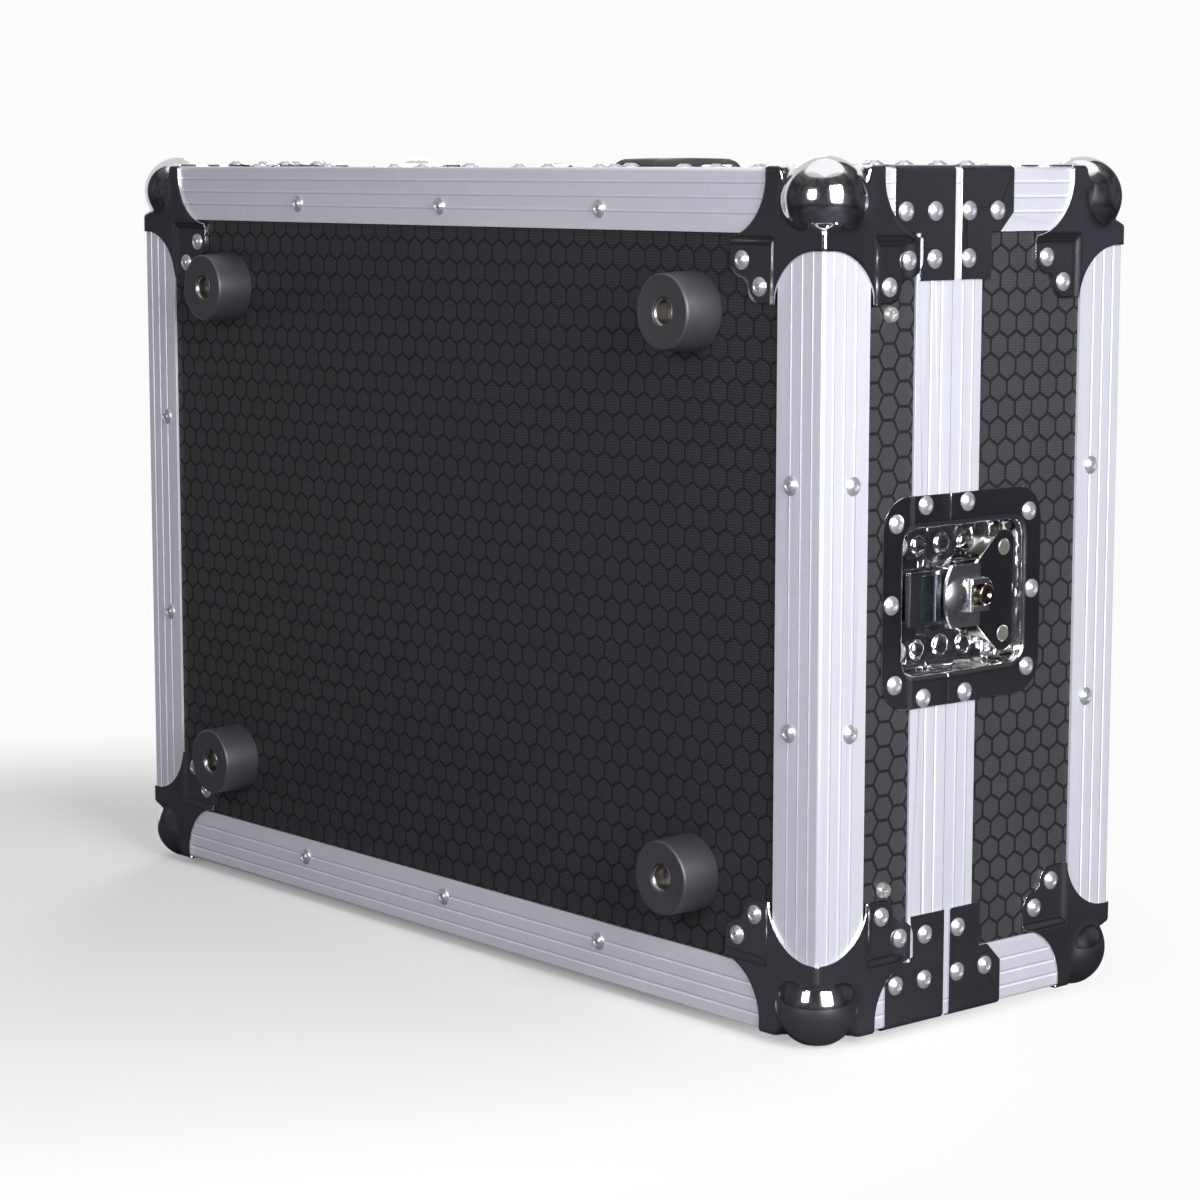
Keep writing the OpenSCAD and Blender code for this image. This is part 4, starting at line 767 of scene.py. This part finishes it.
def corner_sheet(clip_y, rim_y):
    """A bmesh of one corner, in millimetres from the case's corner, out towards -X -Y -Z."""
    bm = bmesh.new()
    low, high, count = -BALL_IN - SHEET, PLATE_FAR - BALL_IN + 1, 56
    spacing = (high - low) / count
    bmesh.ops.create_grid(bm, x_segments=count, y_segments=count, size=(high - low) / 2,
                          matrix=Matrix.Translation(((low + high) / 2, (low + high) / 2, 0)))
    line = round((STEP_IN - BALL_IN - low) / spacing)
    for v in bm.verts:
        for axis in (0, 1):
            if round((v.co[axis] - low) / spacing) == line:
                v.co[axis] = STEP_IN - BALL_IN
    on_fold = low + 1e-6
    outside = {v for v in bm.verts
               if min(v.co.xy) >= on_fold and from_outline(v.co) > spacing * 0.5}
    bmesh.ops.delete(bm, context="FACES", geom=[
        f for f in bm.faces
        if outside & set(f.verts) or from_outline(f.calc_center_median()) > 0.1])
    bmesh.ops.delete(bm, geom=[v for v in bm.verts if not v.link_faces], context="VERTS")
    for v in bm.verts:
        if v.is_boundary and min(v.co.xy) > on_fold:
            a, b = slide_onto_outline(v.co.x + BALL_IN, v.co.y + BALL_IN)
            v.co.xy = a - BALL_IN, b - BALL_IN
    for v in bm.verts:
        v.co = pushed_out(v.co.x, v.co.y)
    one = bm.copy()
    cycle = Matrix(((0, 0, 1, 0), (1, 0, 0, 0), (0, 1, 0, 0), (0, 0, 0, 1)))
    carried(bm, one, cycle)
    carried(bm, one, cycle @ cycle)
    one.free()
    bmesh.ops.remove_doubles(bm, verts=bm.verts, dist=0.05)
    bmesh.ops.translate(bm, verts=bm.verts, vec=(BALL_IN,) * 3)
    bmesh.ops.recalc_face_normals(bm, faces=bm.faces)
    tip = min(bm.faces, key=lambda f: sum(f.calc_center_median()))
    if tip.normal.dot(Vector((1, 1, 1))) > 0:
        bmesh.ops.reverse_faces(bm, faces=bm.faces)
    cut(bm, (0, clip_y, 0), (0, 1, 0), clear_outer=True)
    over_the_rim(bm, rim_y)
    return bm


# %% All ball corners
def corner_matrices(half):
    y, up = (HEIGHT, -Y) if half == "lid" else (0, Y)
    return [face_matrix(-sx * X, up, -sz * Z, (sx * LENGTH / 2, y, DEPTH if sz > 0 else 0))
            for sx in (-1, 1) for sz in (-1, 1)]


for half, clip, rim_y in (("base", SEAM - 23 - 0.15, SEAM - 24),
                          ("lid", HEIGHT - SEAM - 20 - 0.15, HEIGHT - SEAM - 20)):
    bm = copies(corner_sheet(clip, rim_y), corner_matrices(half))
    obj = piece(half + "_ball_corner_set", bm, chrome, half, (half + "_ball_corners",),
                40)
    thickened(obj, SHEET)
    edge_bevel(obj, 0.3, 2, 60, harden=False)

# %% [markdown]
# ## Rivets
# Each rivet's head is a low dome with a dimple where the mandrel broke off. One is spun from
# its section and set at every place that the CAD rivets hold, on the sheet's own level.


# %% Places of the rivets
ON_SKIN = SKIN + SHEET


def doubled(points, axis, span):
    """The points, each followed by its mirror image in the middle of the span on one axis."""
    found = []
    for p in points:
        image = list(p)
        image[axis] = span - image[axis]
        found += [p, tuple(image)]
    return found


half_l, half_d = LENGTH / 2, DEPTH / 2
corner_pair = [(LOBE_FAR, LOBE_NEAR), (LOBE_NEAR, LOBE_FAR)]
end_corners = doubled(corner_pair, 1, DEPTH)
side_corners = doubled([(x - half_l, y) for x, y in corner_pair], 0, 0)
face_corners = doubled(side_corners, 1, DEPTH)
end_profile = doubled([(20, half_d - 57.5)], 1, DEPTH)
side_profile = [(x, 20) for x in (-127, 0, 127)]
face_profile = doubled(side_profile + [(s * (half_l - 20), half_d - 57.5) for s in (-1, 1)],
                       1, DEPTH)


def brace_points(height, row):
    rows = ((height - row, 20), (height - row - 19.4, 20), (height - row, 42))
    return doubled(rows, 1, DEPTH), doubled([(z - half_l, y) for y, z in rows], 0, 0)


def dish_points(height, rows):
    on_rim, on_skin, last = [height - r for r in rows]
    return (doubled([(on_rim, half_d - 45.6)], 1, DEPTH),
            doubled([(on_skin, half_d - 37.9)], 1, DEPTH) + [(last, half_d)])


# %% Spun rivets
def rivet_shape():
    dome = arc(0, 2.2 - 5.7, 5.7, 51, 78, 6)
    profile = [(0.0, -0.6), (1.6, -0.6), (1.6, 0.02), (4.42, 0.02), (4.5, 0.12), (4.5, 0.35)]
    profile += [(4.36, 0.62)] + [(r, z) for r, z in dome if r < 4.2 and r > 2.25]
    profile += [(2.1, 2.0), (1.95, 1.85), (1.7, 1.2), (1.1, 1.1), (0.85, 1.3), (0.7, 1.75),
                (0.0, 1.85)]
    return spun(profile, 20)


def rivet_set(name, body, node, places, y_flip=False):
    """places: (face, points, level); the lid's points count from its own outer face."""
    matrices = []
    for face, points, level in places:
        for a, b in points:
            if y_flip and face in ENDS:
                a = HEIGHT - a
            if y_flip and face in SIDES:
                b = HEIGHT - b
            matrices.append(FACES[face] @ Matrix.Translation((a, b, level)))
    print(name, len(matrices), "rivets")
    piece(name, copies(rivet_shape(), matrices), rivet_metal, body, (node,), 50)


ENDS, SIDES = ("right", "left"), ("handle", "rear")
for half, height, row, dish_rows in (("base", SEAM, 13.4, (16.9, 34.8, 37.6)),
                                     ("lid", HEIGHT - SEAM, 9.4, (11.5, 56.4, 59.0))):
    corners = [(half, face_corners, ON_SKIN)]
    for names, points, across in ((ENDS, end_corners, 0), (SIDES, side_corners, 1)):
        rising = [p for p in points if half == "base" and p[across] == LOBE_FAR]
        corners += [(f, rising, ON_SKIN + 0.6) for f in names]
        corners += [(f, [p for p in points if p not in rising], ON_SKIN) for f in names]
    end, side = brace_points(height, row)
    on_rim, on_skin = dish_points(height, dish_rows)
    latch = [(f, on_rim, SHEET) for f in ENDS] + [(f, on_skin, ON_SKIN) for f in ENDS]
    if half == "base":
        latch += [(f, doubled([(SEAM - 20, half_d - 25)], 1, DEPTH), -14 + 1.6) for f in ENDS]
    for name, node, places in (
            (half + "_profile_rivet_set", half + "_profile_rivets",
             [(half, face_profile, 0)] + [(f, end_profile, 0) for f in ENDS]
             + [(f, side_profile, 0) for f in SIDES]),
            (half + "_corner_rivet_set", half + "_corner_rivets", corners),
            (half + "_brace_rivet_set", half + "_brace_rivets",
             [(f, end, SHEET) for f in ENDS] + [(f, side, SHEET) for f in SIDES]),
            ("latch_%s_rivet_set" % half, "latch_%s_rivets" % half, latch)):
        rivet_set(name, half, node, places, half == "lid")

# %% [markdown]
# ## Latch dishes
# The dish is a pressing: a wide flange steps down from the rims to the panels, rolls over
# into the opening and falls to a flat floor. It is drawn as rings of a rounded rectangle,
# each ring with its own offset and depth, and the sheet is extruded from each ring to the
# next. The seam between base and lid cuts the pressing in two.


# %% Rings of a pressing
CORNER_STEPS, SIDE_STEPS, FLOOR_R = 8, 6, 2.4


def rounded_ring(u0, u1, w0, w1, radius, marks_u):
    """Points round a rounded rectangle, with a point at each u in marks_u on both long sides."""
    points = []
    lows = sorted(u for u in marks_u if u0 + radius < u < u1 - radius)
    levels = [w0 + (w1 - w0) * k / SIDE_STEPS for k in range(1, SIDE_STEPS)]
    for cu, cw, start in ((u1 - radius, w1 - radius, 0), (u0 + radius, w1 - radius, 90),
                          (u0 + radius, w0 + radius, 180), (u1 - radius, w0 + radius, 270)):
        points += arc(cu, cw, radius, start, start + 90, CORNER_STEPS)
        points += {0: [(u, w1) for u in reversed(lows)],
                   90: [(u0, w) for w in reversed(levels)],
                   180: [(u, w0) for u in lows],
                   270: [(u1, w) for w in levels]}[start]
    return points


def ring_maker(flange, opening, marks_u, top, low):
    """A function for rings: the opening grown by an offset, or the flange shrunk by it."""
    def ring(offset, depth, outer=False):
        (u0, u1, w0, w1, radius), grown = (flange, -offset) if outer else (opening, offset)
        level = (top if depth > -5 else low) + depth
        return [(u, w, level) for u, w in rounded_ring(
            u0 - grown, u1 + grown, w0 - grown, w1 + grown, radius + grown, marks_u)]
    return ring


def pressing(rings):
    """Extrudes a ring of edges from one ring of points to the next and fills the last one."""
    bm = bmesh.new()
    verts = [bm.verts.new(p) for p in rings[0]]
    edges = [bm.edges.new((a, b)) for a, b in zip(verts, verts[1:] + verts[:1])]
    for ring in rings[1:]:
        place = dict(zip(verts, ring))
        made = bmesh.ops.extrude_edge_only(bm, edges=edges)["geom"]
        grown = set(verts_in(made))
        follows = {}
        for v in grown:
            before = next(e.other_vert(v) for e in v.link_edges if e.other_vert(v) in place)
            v.co = place[before]
            follows[before] = v
        verts = [follows[v] for v in verts]
        edges = [g for g in made if isinstance(g, bmesh.types.BMEdge) and set(g.verts) <= grown]
    bmesh.ops.contextual_create(bm, geom=edges)
    bmesh.ops.recalc_face_normals(bm, faces=bm.faces)
    if sum(f.normal.z * f.calc_area() for f in bm.faces) < 0:
        bmesh.ops.reverse_faces(bm, faces=bm.faces)
    return bm


def quarter(steps):
    """The sine and one less the cosine of each step of a quarter turn."""
    return [(math.sin(a), 1 - math.cos(a))
            for a in (math.radians(90 * k / steps) for k in range(1, steps + 1))]


def drawn_rings(ring, lip, mouth, roll, drop, walls):
    """The flange's edge and face, the roll into the opening, the walls, the floor's corner."""
    rings = [ring(0, -1.1, True), ring(0, -0.25, True), ring(0.25, 0, True), ring(lip, 0, True),
             ring(mouth + 0.8, 0), ring(mouth, 0)]
    rings += [ring(mouth - roll * s, -roll * c * drop) for s, c in quarter(5)]
    rings += [ring(*wall) for wall in walls]
    deep = walls[-1][1]
    return rings + [ring(-FLOOR_R * c, deep - FLOOR_R * s) for s, c in quarter(4)]


# %% The latch dish
DISH_FLANGE, DISH_OPENING = (-43.5, 65, -50.35, 50.35, 16), (-29, 53, -34.5, 34.5, 8)
RIMS_LOW, RIMS_HIGH, FALL, DISH_FLOOR = -24.3, 20.3, 1.2, -14.0


def lower_beyond_rims(bm):
    """The flange lies a step lower on the panels than on the rims; the walls stay."""
    for u in (RIMS_LOW - FALL, RIMS_LOW, RIMS_HIGH, RIMS_HIGH + FALL):
        cut(bm, (u, 0, 0), (1, 0, 0))
    for v in bm.verts:
        beyond = clamped(max(RIMS_LOW - v.co.x, v.co.x - RIMS_HIGH) / FALL)
        v.co.z += SKIN * beyond * clamped((v.co.z + 6.0) / 4.0)


dish_ring = ring_maker(DISH_FLANGE, DISH_OPENING, range(-16, 33, 8), SHEET, 0)
whole_dish = pressing(drawn_rings(dish_ring, 1.2, 3.0, 2.8, 0.7, [(0.1, -5.5), (0.0, -11.6)]))
lower_beyond_rims(whole_dish)


def latch_place(side, u=0):
    """The latch's own frame on an end face: u from the seam, w from mid height, n outwards."""
    return FACES[side] @ Matrix.Translation((SEAM + u, DEPTH / 2, 0))


def boss(level, radius=4.6, height=2.0):
    """A round swelling of the sheet with a hollow fillet at its foot."""
    start = [(0.0, level - 0.1), (radius + 1.2, level - 0.1)]
    fillet = arc(radius + 1.2, level + 1.0, 1.0, 270, 190, 4)
    dome = [(radius * math.cos(math.radians(a)), level + 0.9
             + (height - 0.9) * math.sin(math.radians(a))) for a in range(15, 91, 15)]
    return spun(start + fillet + dome, 32)


def foot_plate(bm, u0, u1, w0, w1, level, thick):
    middle = ((u0 + u1) / 2, (w0 + w1) / 2, level + thick / 2)
    edges = unit_cube(bm, Matrix.Translation(middle)
                      @ Matrix.Diagonal((u1 - u0, w1 - w0, thick, 1)))
    bmesh.ops.bevel(bm, geom=edges, offset=0.5, segments=2, affect="EDGES")


def dish_extras(half):
    """Bosses on the lid's half, riveted foot plates of the keeper on the base's half."""
    extras = bmesh.new()
    if half == "lid":
        one = boss(DISH_FLOOR)
        for u in (9.6, 26.0):
            for w in (24.6, -24.6):
                carried(extras, one, Matrix.Translation((u, w, 0)))
    else:
        one = boss(DISH_FLOOR + 1.9, 4.2, 2.3)
        for w in (-25, 25):
            foot_plate(extras, -15.5, -1.2, w - 6.8, w + 6.8, DISH_FLOOR, 1.9)
            carried(extras, one, Matrix.Translation((-8.4, w, 0)))
    one.free()
    return extras


for half, cut_u in (("base", -0.15), ("lid", 0.15)):
    part = whole_dish.copy()
    cut(part, (cut_u, 0, 0), (1, 0, 0), clear_outer=half == "base", clear_inner=half == "lid")
    for side in ENDS:
        bm = copies(part.copy(), [latch_place(side)])
        obj = piece("latch_%s_pressing_%s" % (half, side), bm, dish_chrome, half,
                    ("latch_%s_dish_%s" % (half, side),), 35)
        pressed_sheet(obj)
        bm = copies(dish_extras(half), [latch_place(side)])
        piece("latch_%s_bosses_%s" % (half, side), bm, dish_chrome, half,
              sharp_deg=50)
    part.free()
whole_dish.free()

# %% [markdown]
# ## Latch rotors
# The rotor is a turned part: a shaft that carries the hub's disc and a crowned boss, and an
# offset cam that pulls the claw when the wing is turned. Each part of it is spun. The disc's
# rim is rolled over, and a ring of bright nickel on it is a painted highlight on the plating.

# %% Latch rotors
HUB_U = 26.5
hub = [(0.0, -13.7), (3.0, -13.7), (3.0, -4.1), (7.7, -4.1), (8.0, -3.8), (8.0, -3.0),
       (7.7, -2.75), (7.4, -3.2), (5.3, -3.2), (4.9, -2.8), (4.9, 0.3)]
hub += arc(4.1, 0.4, 0.8, 0, 80, 4) + [(2.6, 1.2), (2.2, 0.9), (1.2, 0.2), (0.0, 0.2)]
cam = [(0.0, -13.4), (6.8, -13.4), (7.0, -13.2), (7.0, -11.6), (6.8, -11.4), (0.0, -11.4)]
for side in ENDS:
    bm = copies(spun(hub, 40), [latch_place(side, HUB_U)])
    source = spun(cam, 40)
    carried(bm, source, latch_place(side, HUB_U + 3))
    source.free()
    piece("latch_turned_rotor_" + side, bm, brass, side + "_rotor",
          ("latch_rotor_" + side,), 35)
    # a ring of bright nickel on the rolled rim: a painted highlight against the dark plating
    bm = copies(spun(arc(7.75, -2.85, 0.34, 0, 360, 12), 40), [latch_place(side, HUB_U)])
    piece("latch_hub_rim_painted_highlight_" + side, bm, nickel, side + "_rotor", sharp_deg=60)

# %% [markdown]
# ## Latch bracket, wing barrel and claw ribs
# The bracket is punched from plate: an outline of arcs round the hub and the two standoffs,
# filled and extruded. The wing has a rolled barrel beside the hub, and the claw's tongue has
# pressed ribs across it, both drawn as a section and extruded along their length.


# %% Bracket, barrel and ribs
def extruded(points, vec):
    """A closed solid from a flat outline and the vector it is extruded by."""
    bm = bmesh.new()
    verts = [bm.verts.new(p) for p in points]
    bmesh.ops.contextual_create(bm, geom=verts)
    made = bmesh.ops.extrude_face_region(bm, geom=bm.faces[:])["geom"]
    bmesh.ops.translate(bm, vec=vec, verts=verts_in(made))
    bmesh.ops.recalc_face_normals(bm, faces=bm.faces)
    return bm


LOBE_U, LOBE_W, HUB_ROUND, LOBE_ROUND = 43.5, 21.0, 12.0, 8.5
reach = math.hypot(LOBE_U - HUB_U, LOBE_W)
turn_deg = math.degrees(math.atan2(LOBE_W, LOBE_U - HUB_U)
                        + math.acos((HUB_ROUND - LOBE_ROUND) / reach))
outline = arc(LOBE_U, LOBE_W, LOBE_ROUND, 0, turn_deg, 12) \
    + arc(HUB_U, 0, HUB_ROUND, turn_deg, 360 - turn_deg, 20) \
    + arc(LOBE_U, -LOBE_W, LOBE_ROUND, 360 - turn_deg, 360, 12)
plate = extruded([(u, w, -6.0) for u, w in outline], (0, 0, 1.6))
bm = copies(plate, [latch_place(side) for side in ENDS])
obj = piece("latch_punched_brackets", bm, chrome, "lid", ("latch_brackets",), 30)
edge_bevel(obj, 0.35)

barrel = [(15.4, -2.0), (15.4, -1.4)] + arc(16.9, -1.5, 1.6, 170, 10, 8) + [(18.4, -2.0)]
ribs = [(-11.4, -6.4), (-11.2, -6.1), (-6.9, -6.1), (-6.5, -5.3), (-5.8, -5.0), (-5.1, -5.3),
        (-4.8, -6.1), (-4.1, -6.1), (-3.9, -5.1), (-3.1, -4.6), (-2.5, -4.9), (-2.3, -6.1),
        (-1.5, -6.1), (-1.3, -4.9), (-0.5, -4.5), (0.1, -4.7), (0.4, -6.1), (0.7, -6.4)]
for side in ENDS:
    for name, section, wide, body, finish in (
            ("latch_wing_barrel_", barrel, 16.0, side + "_wing", satin_steel),
            ("latch_claw_ribs_", ribs, 22.0, side + "_claw", blued_steel)):
        source = extruded([(u, -wide / 2, z) for u, z in section], (0, wide, 0))
        obj = piece(name + side, copies(source, [latch_place(side)]), finish, body,
                    sharp_deg=40)
        edge_bevel(obj, 0.15, 2, 50)

# %% [markdown]
# ## Handle dish, bail and grip
# The handle's dish is the same kind of pressing with one flat flange. The bail is one bent
# rod: a ring is extruded along each straight length and spun round each bend. The grip is
# rubber moulded on its bar, thickest in the middle, with soft shallow ribs for the fingers.

# %% The handle dish
TUB_Y, HANDLE_X = 139, 10
TUB_FLANGE, TUB_OPENING = (-87, 87, -34, 34, 10), (-77.5, 77.5, -24.5, 24.5, 5)
tub_ring = ring_maker(TUB_FLANGE, TUB_OPENING, (-40, 0, 40), ON_SKIN, ON_SKIN)
source = pressing(drawn_rings(tub_ring, 1.0, 2.2, 2.1, 1.0, [(0.0, -18.6)]))
bm = copies(source, [FACES["handle"] @ Matrix.Translation((HANDLE_X, TUB_Y, 0))])
obj = piece("handle_pressing", bm, chrome, "lid", ("handle_dish",), 35)
pressed_sheet(obj)
tub_rivets = [(HANDLE_X + sx * 56, TUB_Y + sy * 29) for sx in (-1, 0, 1) for sy in (-1, 1)] + \
    [(HANDLE_X + sx * 80.8, TUB_Y + sy * 29) for sx in (-1, 1) for sy in (-1, 0, 1)]
rivet_set("handle_rivet_set", "lid", "handle_rivets", [("handle", tub_rivets, ON_SKIN)])

# %% The bail
ROD_R, BEND_R, ARM_X, ARM, EYE_R, BORE_R = 3.5, 7.0, 60.0, 29.0, 5.0, 2.3
GRIP_Y, GRIP_Z = 153.9, DEPTH - 4


def drawn_on(bm, edges, move=None, bend=None):
    """Extrudes the ring of edges by a vector, or spins it a quarter turn round a point."""
    if bend:
        made = bmesh.ops.spin(bm, geom=edges, cent=bend, axis=(0, 0, 1), dvec=(0, 0, 0),
                              angle=-math.pi / 2, steps=10)["geom_last"]
    else:
        made = bmesh.ops.extrude_edge_only(bm, edges=edges)["geom"]
        bmesh.ops.translate(bm, vec=move, verts=verts_in(made))
    verts = set(verts_in(made))
    return list({e for v in verts for e in v.link_edges
                 if set(e.verts) <= verts and e.is_boundary})


source = bmesh.new()
start = Matrix.Translation((-ARM_X, 1, 0)) @ Matrix.Rotation(math.pi / 2, 4, "X")
bmesh.ops.create_circle(source, segments=24, radius=ROD_R, matrix=start)
ring = source.edges[:]
ring = drawn_on(source, ring, move=(0, ARM - BEND_R - 1, 0))
ring = drawn_on(source, ring, bend=(-ARM_X + BEND_R, ARM - BEND_R, 0))
ring = drawn_on(source, ring, move=(2 * (ARM_X - BEND_R), 0, 0))
ring = drawn_on(source, ring, bend=(ARM_X - BEND_R, ARM - BEND_R, 0))
drawn_on(source, ring, move=(0, -ARM + BEND_R + 1, 0))
bmesh.ops.recalc_face_normals(source, faces=source.faces)
eye = spun([(BORE_R, 55.0), (4.6, 55.0), (EYE_R, 55.4), (EYE_R, 76.8), (4.6, 77.2),
            (BORE_R, 77.2), (BORE_R, 55.0)], 32)
for turn in (90, -90):
    carried(source, eye, Matrix.Rotation(math.radians(turn), 4, "Y"))
eye.free()
bm = copies(source, [face_matrix(X, Y, Z, (HANDLE_X, GRIP_Y - ARM, GRIP_Z))])
piece("handle_bent_bail", bm, nickel, "handle", ("handle_bail",), 40)

# %% The grip
half_profile = [(3.55, 47.0), (5.2, 46.9), (6.6, 46.2), (7.5, 44.9), (8.1, 42.8)]
for k in range(0, 15):
    z = 41.0 - k * 2.0
    bulge = 8.45 + 0.5 * math.cos(z / 44 * math.pi / 2)
    half_profile += [(bulge, z), (bulge - 0.35, z - 1.3)]
half_profile.append((8.9, 11.0))
profile = half_profile + [(r, -z) for r, z in reversed(half_profile)]
profile = [(3.55, 46.9)] + profile[1:-1] + [(3.55, -46.9)]
source = spun(profile + [profile[0]], 36)
bm = copies(source, [face_matrix(Y, Z, X, (HANDLE_X, GRIP_Y, GRIP_Z))])
piece("handle_rubber_grip", bm, grip_rubber, "handle", ("handle_grip",), 60)

# %% [markdown]
# ## Rubber feet
# Each foot is a turned shape, so its section is spun: a slightly tapered wall, a rounded rim
# and a counterbore that hides the screw. A plated steel cup lines the counterbore and takes
# the screw's pull.

# %% Rubber feet
FOOT_BORE, FOOT_IN_X, FOOT_IN_Z = 6.5, 88, 67
feet = [FACES["base"] @ Matrix.Translation((sx * (LENGTH / 2 - FOOT_IN_X), z, 0))
        for sx in (-1, 1) for z in (FOOT_IN_Z, DEPTH - FOOT_IN_Z)]
foot = [(2.15, -1.5), (18.9, -1.5), (18.98, -1.0), (18.1, 17.9)]
foot += arc(16.95, 18.35, 1.1, 0, 100, 6)
foot += [(16.0, 19.36), (12.0, 19.1), (8.6, 18.9)] + arc(7.9, 17.6, 1.3, 80, 180, 6)
foot += [(6.5, 16.9), (6.5, FOOT_BORE), (2.15, FOOT_BORE), (2.15, -1.5)]
piece("rubber_foot_set", copies(spun(foot, 56), feet), foot_rubber, "base", ("rubber_feet",),
      50)
cup = [(2.3, 6.55), (6.25, 6.55), (6.4, 6.7), (6.4, 16.9), (6.7, 18.2), (6.5, 18.45),
       (6.1, 18.1), (5.75, 16.8), (5.6, 8.6), (4.6, 7.6), (2.3, 7.6), (2.3, 6.55)]
piece("foot_cup_washers", copies(spun(cup, 40), feet), cup_steel, "base", ("foot_washers",),
      40)

# %% [markdown]
# ## Foam liners
# The liners are closed-cell foam, cut to size. A cut block is never quite a box: its faces
# are slightly crowned and its edges soft. Each is a box, subdivided and drawn in towards its
# edges, and kept inside the CAD block.


# %% Foam liners
FOAM_FILL, SOFT_EDGE, STRIP = 0.95, 3.0, 8
WALL, POST, BASE_REACH, LID_REACH, BESIDE_TUB, LID_FOAM = 8.5, 20.5, 252, 262, 80.4, 175
near, far, ends = WALL, DEPTH - WALL - STRIP, half_l - POST


def foam_block(bm, low, high):
    """A crowned block between two corners in case millimetres."""
    low, high = Vector(low), Vector(high)
    size = high - low
    start = len(bm.verts)
    bmesh.ops.subdivide_edges(bm, edges=unit_cube(bm), cuts=15, use_grid_fill=True)
    bm.verts.ensure_lookup_table()
    thin = min(size)
    for v in bm.verts[start:]:
        u = [c * 2 for c in v.co]
        rim = [min(SOFT_EDGE, thin * 0.3) * abs(c) ** 6 for c in u]
        for i in range(3):
            others = sum(rim) - rim[i]
            c = abs(u[i]) ** 0.62 if size[i] > 3 * thin else abs(u[i])
            reach = size[i] / 2 - min(others * 0.4, thin * 0.35) * c
            v.co[i] = math.copysign(c, u[i]) * reach
    bmesh.ops.translate(bm, verts=bm.verts[start:], vec=(low + high) / 2 + SHIFT)


def foam_piece(name, node, body, blocks):
    bm = bmesh.new()
    for low, high in blocks:
        foam_block(bm, low, high)
    bmesh.ops.scale(bm, verts=bm.verts, vec=(MM, MM, MM))
    bmesh.ops.recalc_face_normals(bm, faces=bm.faces)
    obj = piece(name, bm, foam, body, (node,), 80)


foam_piece("base_floor_liner", "base_floor_foam", "base",
           [((-ends, WALL, POST), (ends, 20.5, DEPTH - POST))])
foam_piece("base_wall_liner", "base_wall_foam", "base",
           [((-BASE_REACH, 21, z), (BASE_REACH, 66.5, z + STRIP)) for z in (near, far)])
foam_piece("lid_top_liner", "lid_top_foam", "lid",
           [((-ends, LID_FOAM + 0.5, POST), (ends, 195.5, DEPTH - POST))])
strips = [((x0, 101.5, z), (x1, LID_FOAM, z + STRIP)) for x0, x1, z in (
    (-LID_REACH, LID_REACH, near), (-LID_REACH, HANDLE_X - BESIDE_TUB, far),
    (HANDLE_X + BESIDE_TUB, LID_REACH, far))]
strips += [((x, 142, POST), (x + STRIP, LID_FOAM, DEPTH - POST))
           for x in (-half_l + WALL, half_l - WALL - STRIP)]
foam_piece("lid_wall_liner", "lid_wall_foam", "lid", strips)
